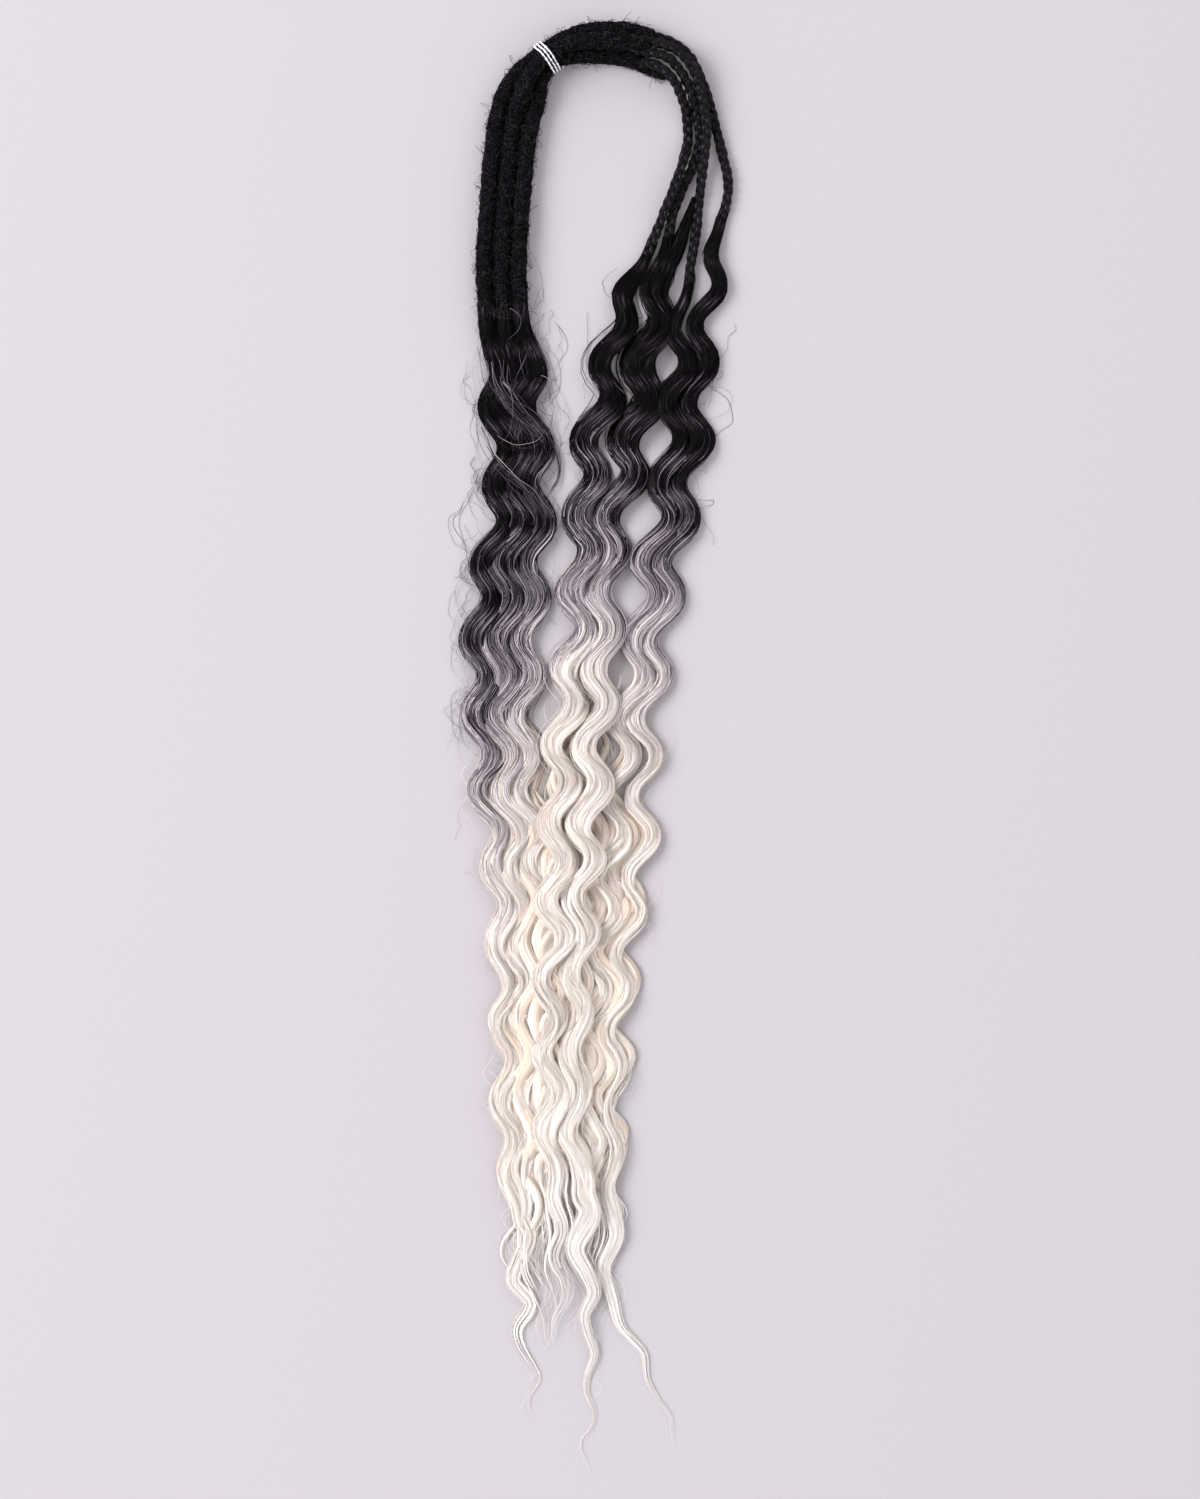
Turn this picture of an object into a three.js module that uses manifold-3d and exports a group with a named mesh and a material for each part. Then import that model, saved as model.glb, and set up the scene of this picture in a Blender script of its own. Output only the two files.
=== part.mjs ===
// A hank of double-ended hair: three felted dreads, four plaits, seven wavy locks and the thread that ties it.
// Millimetres, +Z up off the table. The fold lies towards +Y and the curled tips towards -Y.
import * as THREE from 'three';
import { mergeVertices } from 'three/addons/utils/BufferGeometryUtils.js';
import Module from 'manifold-3d';

// Driving dimensions
const DREAD_RADIUS = 3.85;
const DREAD_WAIST = 3.25; // radius where the thread draws the dreads in
const WAIST_REACH = 12; // how far along the dread the waist is felt
const DREAD_STEP = 6;

const BRAID_WIDTH = 4.7;
const BRAID_THICKNESS = 3.4;
const BRAID_BULGE = 4.6; // distance from one bulge to the next on the same edge of a braid
const BRAID_RELIEF = 0.24; // how far a braid draws in between two bulges, as a share of its half width

const WAVE_LENGTH = 36;
const LONG_WAVE = 37;
const WAVE_STEPS = 5; // sections for each wave
const LOCK_THICKNESS = 5;
const TIP_SHARE = 0.08; // width left at a curled tip
const TAPER_FROM = 0.6; // share of a lock's length where it starts to thin out
const ROOT_REACH = 26; // length in which a lock spreads from its dread or braid to its own width
const WAVE_REACH = 40; // length in which the wave grows to its full swing

const THREAD_RADIUS = 0.75;
const THREAD_TURNS = 3;
const THREAD_PITCH = 1.65;
const THREAD_CLEARANCE = 0.85; // between the thread and the dreads it draws in
const THREAD_STEPS = 22; // sections for each turn

// Looks
const FELT = { color: 0x17141a, roughness: 0.95, metalness: 0 };
const PLAITED = { color: 0x121016, roughness: 0.5, metalness: 0 };
const THREAD = { color: 0xf2f2f8, roughness: 0.6, metalness: 0 };

// Where the thread crosses the dreads, and the heading of the hank there
const TIE = new THREE.Vector3(-23.5, 324, 0);
const TIE_HEADING = new THREE.Vector3(0.757, 0.653, 0).normalize();
const TIE_APART = 3.85; // sideways from the middle dread to each of the other two
const TIE_STACK = 6; // from the lower dreads up to the middle one that lies on them
const TIE_LIFT = 2 * THREAD_RADIUS + THREAD_CLEARANCE + DREAD_WAIST - DREAD_RADIUS;

// Dreads: columns x, y, rise of the underside off the table, from the lower end over the top to the far end
const DREADS = {
  dread_outer: [
    [-52, 200.5, 0],
    [-53.5, 225, 0],
    [-52, 253.5, 0],
    [-50, 277, 0],
    [-47.5, 295.5, 0],
    [-43, 309.5, 0],
    [-35, 319.6, 1],
    [-26, 326.9, TIE_LIFT],
    [-16.6, 332.8, 1],
    [-6.5, 336.3, 0],
    [4.5, 337.5, 0],
    [16.5, 336.6, 0],
    [27.3, 334.2, 0],
  ],
  dread_middle: [
    [-43.9, 200.5, 0],
    [-45.4, 225, 0],
    [-43.9, 253.5, 0],
    [-41.9, 277, 0],
    [-39.4, 294.5, 0.2],
    [-36, 305.5, 3.3],
    [-31.1, 315.5, 6.5],
    [-23.5, 324, TIE_LIFT + TIE_STACK],
    [-15, 328.9, 7.95],
    [-4.5, 330.6, 7.4],
    [6, 330.6, 7.4],
    [17, 329.6, 7.3],
    [25, 328, 7],
  ],
  dread_inner: [
    [-35.8, 200.5, 0],
    [-37.3, 225, 0],
    [-35.8, 253.5, 0],
    [-33.8, 277, 0],
    [-31.4, 292.5, 0],
    [-28.4, 303.4, 0],
    [-26.1, 313.8, 1],
    [-21, 321.1, TIE_LIFT],
    [-12.6, 325.6, 1],
    [-0.5, 326.4, 0],
    [10.5, 325.2, 0],
    [21, 321.2, 0],
    [32.3, 314.8, 0],
  ],
};

// Braids: columns x, y, rise of the underside off the table, from the dreads' ends downwards
const BRAIDS = {
  braid_inner: [
    [20, 321, 8.2],
    [27, 319.5, 8.2],
    [33, 315.5, 8],
    [38, 308.5, 4.2],
    [41.3, 299, 0.6],
    [42.8, 286, 0],
    [40.8, 275.5, 2.4],
    [37.4, 264.5, 3.8],
    [32.8, 253.5, 3],
    [27.5, 243, 0.4],
    [23, 231.5, 0],
  ],
  braid_second: [
    [25.6, 325.3, 8.8],
    [32, 323.4, 8.2],
    [38, 318, 6.2],
    [43, 309.5, 3.4],
    [46.2, 299, 0.2],
    [47.7, 286, 0],
    [45.4, 274.5, 0],
    [41, 264, 0],
    [36.8, 254.5, 0],
    [34, 246, 0],
    [33, 240, 0],
  ],
  braid_third: [
    [25.8, 330.4, 8.8],
    [34, 328, 8.2],
    [41, 323.4, 6.8],
    [46.3, 314.5, 5],
    [49.3, 304, 3.8],
    [50.8, 292, 3.6],
    [50.3, 281.5, 3.4],
    [48.6, 267.5, 1.4],
    [47.2, 255.5, 0],
    [46.5, 246.5, 0],
    [45, 235.5, 0],
    [43.2, 225, 0],
    [42.5, 218, 0],
  ],
  braid_outer: [
    [27.9, 334.1, 1.4],
    [36, 331, 0],
    [42.5, 325.5, 0],
    [46.8, 318, 0],
    [50.3, 307.5, 0],
    [54.5, 294.5, 0],
    [58.5, 282.5, 0],
    [61.6, 271, 0],
    [62.4, 263.5, 0],
    [60.8, 255.5, 0],
    [58.3, 249.5, 0],
  ],
};

// Wavy locks. Drift columns: x, y, rise of the underside off the table, from the root to the tip.
// crest is the y of a bend to the left, swing how far the lock bends to each side, wave the length of a wave.
const DREAD_ROOT = 2 * DREAD_RADIUS;
const LOCKS = {
  lock_dread_outer: {
    rootWidth: DREAD_ROOT, rootThickness: DREAD_ROOT, width: 7.2, crest: 160, swing: 4, wave: WAVE_LENGTH,
    drift: [
      [-52, 200, 0],
      [-51, 173.5, 0],
      [-47, 150, 0],
      [-46, 117, 0],
      [-52, 84, 0],
      [-56.5, 46.5, 0],
      [-54.5, 13.5, 0],
      [-52, -24, 0],
      [-46.5, -61.5, 0],
      [-45, -99, 0],
      [-43.2, -146, 0],
      [-41.5, -193, 0],
      [-38, -231, 0],
      [-35, -268.5, 0],
      [-33, -317.5, 0],
    ],
  },
  lock_dread_middle: {
    rootWidth: DREAD_ROOT, rootThickness: DREAD_ROOT, width: 7, crest: 160, swing: 4, wave: WAVE_LENGTH,
    drift: [
      [-43.9, 200, 0],
      [-41.8, 173.5, 0],
      [-37.4, 150, 0],
      [-36, 117, 0],
      [-41, 84, 0],
      [-45.5, 46.5, 0],
      [-44.8, 13.5, 0],
      [-42.5, -24, 0],
      [-37, -61.5, 0],
      [-35.5, -99, 0],
      [-34.4, -146, 0],
      [-32.8, -193, 0],
      [-30.6, -235.5, 0],
      [-25, -280, 0],
    ],
  },
  lock_dread_inner: {
    rootWidth: DREAD_ROOT, rootThickness: DREAD_ROOT, width: 7.2, crest: 160, swing: 4, wave: WAVE_LENGTH,
    drift: [
      [-35.8, 200, 0],
      [-32, 173.5, 0],
      [-27.7, 150, 0],
      [-26.4, 117, 0],
      [-29.5, 84, 0],
      [-33, 46.5, 0],
      [-35.2, 13.5, 0],
      [-33, -24, 0],
      [-27.4, -61.5, 0],
      [-26, -99, 0],
      [-25.6, -146, 0],
      [-24.6, -193, 0],
      [-23.4, -235.5, 0],
      [-19, -273, 0],
    ],
  },
  lock_braid_inner: {
    rootWidth: BRAID_WIDTH, rootThickness: BRAID_THICKNESS, width: 10.2, crest: 182, swing: 4.6,
    wave: WAVE_LENGTH,
    drift: [
      [22.8, 231.1, 0],
      [12.6, 211, 0],
      [7.2, 190, 0],
      [1.2, 164, 0],
      [-4.4, 136, 0],
      [-8.2, 89, 0],
      [-10.5, 46.5, 0],
      [-15.5, 13.5, 2],
      [-17.5, -24, 4],
      [-19.5, -71, 5.3],
      [-22, -118, 5.3],
      [-22, -165, 5],
      [-21, -212, 4],
      [-17, -254.5, 3],
      [-16.5, -282.5, 2],
    ],
  },
  lock_braid_second: {
    rootWidth: BRAID_WIDTH, rootThickness: BRAID_THICKNESS, width: 9.2, crest: 182, swing: 4.4,
    wave: WAVE_LENGTH,
    drift: [
      [32.9, 239.5, 0],
      [27, 211, 0],
      [22.5, 187.5, 0],
      [18.5, 164, 0],
      [13.5, 136, 0],
      [6.5, 103, 0],
      [4, 70, 0],
      [1.5, 32.5, 2.6],
      [-3.5, -5, 4.6],
      [-6, -52, 5.4],
      [-9.5, -99, 5.2],
      [-11.2, -146, 4.4],
      [-11.2, -193, 4.2],
      [-7.5, -235.5, 4],
      [-3, -273, 2.6],
      [-4, -306, 0],
      [-4.5, -341, 0],
    ],
  },
  lock_braid_third: {
    rootWidth: BRAID_WIDTH, rootThickness: BRAID_THICKNESS, width: 6, crest: 200, swing: 5, wave: LONG_WAVE,
    drift: [
      [42.4, 217.5, 0],
      [38.5, 197, 0],
      [38.4, 173.5, 0],
      [36, 150, 0],
      [32, 121.5, 0],
      [25, 84, 0],
      [19, 46.5, 0],
      [13, 13.5, 0],
      [8.5, -24, 0],
      [4, -71, 0],
      [0, -118, 0],
      [-4, -165, 0],
      [-3.6, -212, 0],
      [-1, -240, 0],
      [2, -262, 0],
    ],
  },
  lock_braid_outer: {
    rootWidth: BRAID_WIDTH, rootThickness: BRAID_THICKNESS, width: 6.3, crest: 200, swing: 5, wave: LONG_WAVE,
    drift: [
      [58, 248.7, 0],
      [54.5, 232, 0],
      [51.5, 211, 0],
      [49, 187.5, 0],
      [45.5, 154.5, 0],
      [41.2, 121.5, 0],
      [34.2, 84, 0],
      [28.2, 46.5, 0],
      [22.5, 13.5, 0],
      [22, -24, 0],
      [18.5, -61.5, 0],
      [14, -99, 0],
      [8.5, -146, 0],
      [5.5, -193, 0],
      [5.5, -240, 0],
      [8.5, -263.5, 0],
      [19, -282.5, 0],
      [27.5, -306, 0],
      [34.5, -325, 0],
      [36, -336.5, 0],
    ],
  },
};

// A loose strand that slips out beside the third braid and joins the second lock: columns x, y, width
const SLIP = [
  [42.6, 257, 1.6],
  [41, 249.5, 4.4],
  [40, 241, 6],
  [36.8, 232, 8],
  [31, 224, 8],
];

// Colour of the locks along the hank: columns y, colour
const FADE = [
  [200, 0x141117],
  [120, 0x2b272e],
  [60, 0x77727a],
  [0, 0xb9b2b8],
  [-80, 0xe6dccf],
  [-341, 0xf3ece2],
];

const UP = new THREE.Vector3(0, 0, 1);
const wasm = await Module();
wasm.setup();

// A smooth line through a table's rows; half is the half thickness that lies on the table
function lineThrough(rows, half) {
  const points = rows.map(([x, y, rise]) => new THREE.Vector3(x, y, rise + half));
  return new THREE.CatmullRomCurve3(points, false, 'catmullrom', 0.5);
}

// The middle line of a wavy lock
class WavyLine extends THREE.Curve {
  constructor(lock) {
    super();
    this.lock = lock;
    this.drift = lineThrough(lock.drift, 0);
    this.length = this.drift.getLength();
  }

  // A size that starts as the root's, grows to the lock's own and thins out towards the tip
  size(share, root, full, tip) {
    const spread = THREE.MathUtils.smoothstep(share * this.length, 0, ROOT_REACH);
    const thinning = THREE.MathUtils.smoothstep(share, TAPER_FROM, 1);
    return THREE.MathUtils.lerp(root, full, spread) * THREE.MathUtils.lerp(1, tip, thinning);
  }

  width(share) {
    return this.size(share, this.lock.rootWidth, this.lock.width, TIP_SHARE);
  }

  thickness(share) {
    return this.size(share, this.lock.rootThickness, LOCK_THICKNESS, 2 * TIP_SHARE);
  }

  getPoint(share) {
    const point = this.drift.getPointAt(share);
    const swing = this.lock.swing * THREE.MathUtils.smoothstep(share * this.length, 0, WAVE_REACH);
    point.x -= swing * Math.cos(2 * Math.PI * (point.y - this.lock.crest) / this.lock.wave);
    point.z = Math.max(point.z, 0) + this.thickness(share) / 2;
    return point;
  }
}

// A closed tube along a line: each ring stands square to the line, with its own half width and half height,
// which may differ from one edge of the ring to the other. A flat side of the ring faces the table.
function tube(line, sides, steps, halfWidth, halfHeight) {
  const geometry = new THREE.CylinderGeometry(1, 1, 1, sides, steps, false, Math.PI / sides);
  geometry.deleteAttribute('normal');
  geometry.deleteAttribute('uv');
  const flat = Math.cos(Math.PI / sides);
  const widest = sides % 4 === 0 ? flat : 1;
  const place = geometry.getAttribute('position');
  const ring = new THREE.Vector3();
  for (let index = 0; index < place.count; index += 1) {
    ring.fromBufferAttribute(place, index);
    const share = THREE.MathUtils.clamp(0.5 - ring.y, 0, 1);
    const heading = line.getTangent(share);
    const side = new THREE.Vector3().crossVectors(UP, heading).normalize();
    const over = new THREE.Vector3().crossVectors(heading, side);
    const point = line.getPoint(share);
    const edge = Math.sign(ring.x);
    point.addScaledVector(side, ring.x * halfWidth(share, edge) / widest);
    point.addScaledVector(over, ring.z * halfHeight(share, edge) / flat);
    place.setXYZ(index, point.x, point.y, point.z);
  }
  return mergeVertices(geometry, 1e-4);
}

function toSolid(geometry) {
  const mesh = new wasm.Mesh({
    numProp: 3,
    vertProperties: new Float32Array(geometry.getAttribute('position').array),
    triVerts: new Uint32Array(geometry.getIndex().array),
  });
  return new wasm.Manifold(mesh);
}

function toGeometry(solid) {
  const mesh = solid.getMesh();
  const geometry = new THREE.BufferGeometry();
  geometry.setAttribute('position', new THREE.BufferAttribute(new Float32Array(mesh.vertProperties), 3));
  geometry.setIndex(new THREE.BufferAttribute(new Uint32Array(mesh.triVerts), 1));
  return geometry;
}

function united(geometries) {
  return toGeometry(geometries.map(toSolid).reduce((all, solid) => all.add(solid)));
}

// A dread: a thick tube, drawn in where the thread ties it
function dread(rows) {
  const line = lineThrough(rows, DREAD_RADIUS);
  const radius = (share) => {
    const point = line.getPoint(share);
    const reach = Math.hypot(point.x - TIE.x, point.y - TIE.y) / WAIST_REACH;
    return THREE.MathUtils.lerp(DREAD_RADIUS, DREAD_WAIST, Math.exp(-reach * reach));
  };
  return tube(line, 8, Math.round(line.getLength() / DREAD_STEP), radius, radius);
}

// A braid: one solid whose two edges bulge by turns, as three plaited strands do
function braid(rows) {
  const line = lineThrough(rows, BRAID_THICKNESS / 2);
  const bulges = Math.round(line.getLength() / BRAID_BULGE);
  const fullness = (share, edge) => {
    const turn = Math.cos(2 * Math.PI * bulges * share) * edge;
    return 1 - BRAID_RELIEF * (1 - turn) / 2;
  };
  const halfWidth = (share, edge) => fullness(share, edge) * BRAID_WIDTH / 2;
  const halfHeight = (share, edge) => fullness(share, edge) * BRAID_THICKNESS / 2;
  return tube(line, 8, 2 * bulges, halfWidth, halfHeight);
}

function wavyLock(lock) {
  const line = new WavyLine(lock);
  const steps = Math.round(line.length / lock.wave * WAVE_STEPS);
  const halfWidth = (share) => line.width(share) / 2;
  const halfHeight = (share) => line.thickness(share) / 2;
  return tube(line, 6, steps, halfWidth, halfHeight);
}

// The slipped strand, flat on the table and widening towards the lock it joins
function slippedStrand() {
  const line = lineThrough(SLIP.map(([x, y]) => [x, y, 0]), BRAID_THICKNESS / 2);
  const halfWidth = (share) => {
    const row = share * (SLIP.length - 1);
    const from = Math.min(Math.floor(row), SLIP.length - 2);
    return THREE.MathUtils.lerp(SLIP[from][2], SLIP[from + 1][2], row - from) / 2;
  };
  return tube(line, 6, 8, halfWidth, () => BRAID_THICKNESS / 2);
}

// The thread: a coil that hugs the two lower dreads and the one lying on them
class ThreadCoil extends THREE.Curve {
  constructor() {
    super();
    const hug = DREAD_WAIST + THREAD_CLEARANCE + THREAD_RADIUS;
    const low = hug + THREAD_RADIUS;
    const high = low + TIE_STACK;
    const loop = new THREE.Shape();
    const lean = Math.atan2(TIE_STACK, TIE_APART);
    loop.absarc(-TIE_APART, low, hug, Math.PI / 2 + lean, 1.5 * Math.PI, false);
    loop.absarc(TIE_APART, low, hug, 1.5 * Math.PI, 2.5 * Math.PI - lean, false);
    loop.absarc(0, high, hug, Math.PI / 2 - lean, Math.PI / 2 + lean, false);
    loop.closePath();
    this.loop = loop;
  }

  getPoint(share) {
    const turns = share * THREAD_TURNS;
    const flat = this.loop.getPointAt(THREE.MathUtils.euclideanModulo(turns + 0.5, 1));
    const side = new THREE.Vector3().crossVectors(UP, TIE_HEADING);
    const along = (share - 0.5) * THREAD_TURNS * THREAD_PITCH;
    const point = TIE.clone().addScaledVector(TIE_HEADING, along);
    return point.addScaledVector(side, -flat.x).addScaledVector(UP, flat.y);
  }
}

function fade(y) {
  const rows = FADE.map(([level, tone]) => [level, new THREE.Color(tone)]);
  const next = rows.findIndex(([level]) => level < y);
  if (next <= 0) {
    return next === 0 ? rows[0][1] : rows[rows.length - 1][1];
  }
  const [above, tone] = rows[next - 1];
  const [below, nextTone] = rows[next];
  return tone.clone().lerp(nextTone, (above - y) / (above - below));
}

const hank = new THREE.Group();
hank.name = 'braided_hair_extension';

function put(name, geometry, look) {
  geometry.computeVertexNormals();
  const mesh = new THREE.Mesh(geometry, new THREE.MeshStandardMaterial(look));
  mesh.name = name;
  hank.add(mesh);
}

for (const [name, rows] of Object.entries(DREADS)) {
  put(name, dread(rows), FELT);
}
for (const [name, rows] of Object.entries(BRAIDS)) {
  put(name, braid(rows), PLAITED);
}
for (const [name, lock] of Object.entries(LOCKS)) {
  const own = wavyLock(lock);
  const geometry = name === 'lock_braid_second' ? united([own, slippedStrand()]) : own;
  const place = geometry.getAttribute('position');
  const tones = new Float32Array(place.count * 3);
  for (let index = 0; index < place.count; index += 1) {
    fade(place.getY(index)).toArray(tones, index * 3);
  }
  geometry.setAttribute('color', new THREE.BufferAttribute(tones, 3));
  put(name, geometry, { color: 0xffffff, vertexColors: true, roughness: 0.45, metalness: 0 });
}
const threadRadius = () => THREAD_RADIUS;
put('tie_thread', tube(new ThreadCoil(), 6, THREAD_TURNS * THREAD_STEPS, threadRadius, threadRadius), THREAD);

export default hank;
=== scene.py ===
import math
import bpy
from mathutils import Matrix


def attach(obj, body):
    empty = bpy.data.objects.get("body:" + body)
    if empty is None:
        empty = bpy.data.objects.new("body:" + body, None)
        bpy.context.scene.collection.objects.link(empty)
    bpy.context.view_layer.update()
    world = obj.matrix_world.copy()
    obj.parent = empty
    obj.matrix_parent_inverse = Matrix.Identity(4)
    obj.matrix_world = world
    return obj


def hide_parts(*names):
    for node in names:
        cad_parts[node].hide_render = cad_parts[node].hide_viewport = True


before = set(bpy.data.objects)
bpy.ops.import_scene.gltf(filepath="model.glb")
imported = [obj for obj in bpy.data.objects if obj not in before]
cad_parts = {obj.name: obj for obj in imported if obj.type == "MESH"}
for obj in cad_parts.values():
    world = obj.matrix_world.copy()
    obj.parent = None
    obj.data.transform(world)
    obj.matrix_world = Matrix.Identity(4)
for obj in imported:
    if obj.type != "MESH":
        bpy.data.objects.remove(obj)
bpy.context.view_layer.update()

import zlib

import bpy
import numpy as np
from mathutils import Vector, noise

# Sizes and places in millimetres
MM = 0.001
FLOOR_GAP = 0.02
DREAD_RADIUS = 3.85
DREAD_WAIST = 3.25
WAIST_REACH = 12.0
DREAD_STEP = 0.95
BRAID_WIDTH = 4.9
BRAID_THICKNESS = 3.9
BRAID_TURN = 13.8
STRAND_RADIUS = 1.3
WAVE_LENGTH = 36.0
LONG_WAVE = 37.0
LOCK_THICKNESS = 5.0
TAPER_FROM = -235.0
FLAT_FROM = -195.0
FLAT_TO = -300.0
ROOT_REACH = 18.0
WAVE_REACH = 40.0
RIBBON_STEP = 2.9
FIBRE_STEP = 3.7
FIBRE_RADIUS = 0.16
WISP_RADIUS = 0.13
SWEEP_RADIUS = 0.1
FINE_SWEEP_RADIUS = 0.07
THREAD_RADIUS = 0.75
THREAD_PITCH = 1.65
THREAD_CLEARANCE = 0.85
THREAD_HUG = 0.95
THREAD_FLOOR = 0.3
PLY_RADIUS = 0.26
PLY_APART = 0.19
TIE = (-23.5, 324.0)
TIE_APART = 3.85
TIE_STACK = 6.0
TIE_LIFT = 2 * THREAD_RADIUS + THREAD_CLEARANCE + DREAD_WAIST - DREAD_RADIUS
PIXEL = 0.47
VIEW_MIDDLE = (0.94, -0.2)

# Counts
PHOTO_ROWS = 1499
RIBBON_SIDES = 10
WISPS = 36
SLIP_FIBRES = 64
BRAID_FIBRES = 11
BRAID_STEPS = 11
DREAD_SIDES = 30
THREAD_TURNS = 3
THREAD_STEPS = 300
ARC_STEPS = 24
PLY_TWISTS = 55
SURFACE_HAIRS = 14
HAIR_STEPS = 24
FEW_STRANDS = 4

# Shares of a size, angles in radians and headings
TURN = 2 * math.pi
BOTTOM = -TURN / 4
TOP = TURN / 4
TIP_SHARE = 0.3
TIP_THICKNESS = 0.16
RIBBON_OVERLAP = 1.45
RIBBON_THICKNESS = 0.26
RIBBON_LIFT = 0.62
RIBBON_INSET = 0.92
BODY_WIDTH = 0.86
BODY_THICKNESS = 0.74
BODY_LEVEL = -0.2
BODY_END = 0.92
BODY_FREEDOM = 0.25
LONGEST_END = 0.98
CREST_CROWDING = 0.3
CREST_ROUNDING = 0.045
ROLL = 0.34
ROLL_LEAD = 0.7
# Painted highlight on dark hair where it runs straight, and painted shade at its bends
PAINTED_GLEAM = 0.22
# The loose strands under the locks take the dull end of the streak shades as painted shade
LOOSE_PAINTED_SHADE = 0.16
MIDDLE_TINT = 0.5
FINE_TINT = 0.7
BLACK = 0.07
SINGLE_HAIRS = 0.9
TIE_HEADING = (0.757, 0.653)
UP = np.array([0.0, 0.0, 1.0])

# Dreads: columns x, y, rise of the underside off the table, from the lower end over the top to the far end
DREADS = {
    "dread_outer": [
        (-52, 200.5, 0), (-53.5, 225, 0), (-52, 253.5, 0), (-50, 277, 0), (-47.5, 295.5, 0),
        (-43, 309.5, 0), (-35, 319.6, 1), (-26, 326.9, TIE_LIFT), (-16.6, 332.8, 1), (-6.5, 336.3, 0),
        (4.5, 337.5, 0), (16.5, 336.6, 0), (27.3, 334.2, 0),
    ],
    "dread_middle": [
        (-43.9, 200.5, 0), (-45.4, 225, 0), (-43.9, 253.5, 0), (-41.9, 277, 0), (-39.4, 294.5, 0.2),
        (-36, 305.5, 3.3), (-31.1, 315.5, 6.5), (-23.5, 324, TIE_LIFT + TIE_STACK), (-15, 328.9, 7.95),
        (-4.5, 330.6, 7.4), (6, 330.6, 7.4), (17, 329.6, 7.3), (25, 328, 7),
    ],
    "dread_inner": [
        (-35.8, 200.5, 0), (-37.3, 225, 0), (-35.8, 253.5, 0), (-33.8, 277, 0), (-31.4, 292.5, 0),
        (-28.4, 303.4, 0), (-26.1, 313.8, 1), (-21, 321.1, TIE_LIFT), (-12.6, 324.6, 1), (-0.5, 325.2, 0),
        (10.5, 324.2, 0), (21, 321.2, 0), (32.3, 314.8, 0),
    ],
}

# Braids: columns x, y, rise of the underside off the table, from the dreads' ends downwards
BRAIDS = {
    "braid_inner": [
        (20, 321, 8.2), (27, 319.5, 8.2), (33, 315.5, 8), (38, 308.5, 4.2), (41.3, 299, 0.6),
        (42.2, 286, 0), (39.9, 275.5, 2.4), (36.2, 264.5, 3.8), (31.9, 253.5, 3), (27.5, 243, 0.4),
        (23, 231.5, 0),
    ],
    "braid_second": [
        (18, 327, 8), (25.6, 325.3, 8.8), (32, 323.4, 8.2), (38, 318, 6.2), (43, 309.5, 3.4),
        (46.2, 299, 0.2), (47.9, 286, 0), (45, 274.5, 0), (40.2, 264, 0), (36.2, 254.5, 0), (34, 246, 0),
        (33, 240, 0),
    ],
    "braid_third": [
        (18, 331, 8), (25.8, 330.4, 8.8), (34, 328, 8.2), (41, 323.4, 6.8), (46.3, 314.5, 5),
        (49.3, 304, 3.8), (50.8, 292, 3.6), (50.3, 281.5, 3.4), (48.6, 267.5, 1.4), (47.2, 255.5, 0),
        (46.5, 246.5, 0), (45, 235.5, 0), (43.2, 225, 0), (42.5, 218, 0),
    ],
    "braid_outer": [
        (21.5, 335.2, 1.8), (27.9, 334.1, 1.4), (36, 331, 0), (42.5, 325.5, 0), (46.8, 318, 0),
        (50.9, 307.5, 0), (54.5, 294.5, 0), (57.6, 282.5, 0), (60.4, 271, 0), (61.2, 263.5, 0),
        (60, 255.5, 0), (58, 249.5, 0),
    ],
}

# Wavy locks. Drift columns: x, y, rise of the underside off the table, from the root to the tip;
# the first row lies inside the dread or braid that the lock grows from.
# Reach columns: y, then how far the hair lies to the left and to the right of the lock's middle there.
# root is the width and thickness at the top, crest the y of a bend to the left, wave the length of a wave,
# swing how far a lock bends to each side, stray how far its ribbons part, rough how unruly its fibres are,
# behind how much further down it stays dark, and lean how much more so on its right.
DREAD_LOCK = dict(root=(2 * DREAD_RADIUS, 2 * DREAD_RADIUS), crest=160, swing=4, wave=WAVE_LENGTH,
                  ribbons=5, fibres=60, rough=0.2, fade="left")
BRAID_LOCK = dict(root=(4.7, 3.4), crest=182, wave=WAVE_LENGTH, ribbons=5, fibres=70, behind=0, fade="right")
OUTER_LOCK = dict(root=(4.7, 3.4), crest=200, swing=5, wave=LONG_WAVE, ribbons=4, fibres=54, behind=0,
                  fade="outer")
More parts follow.
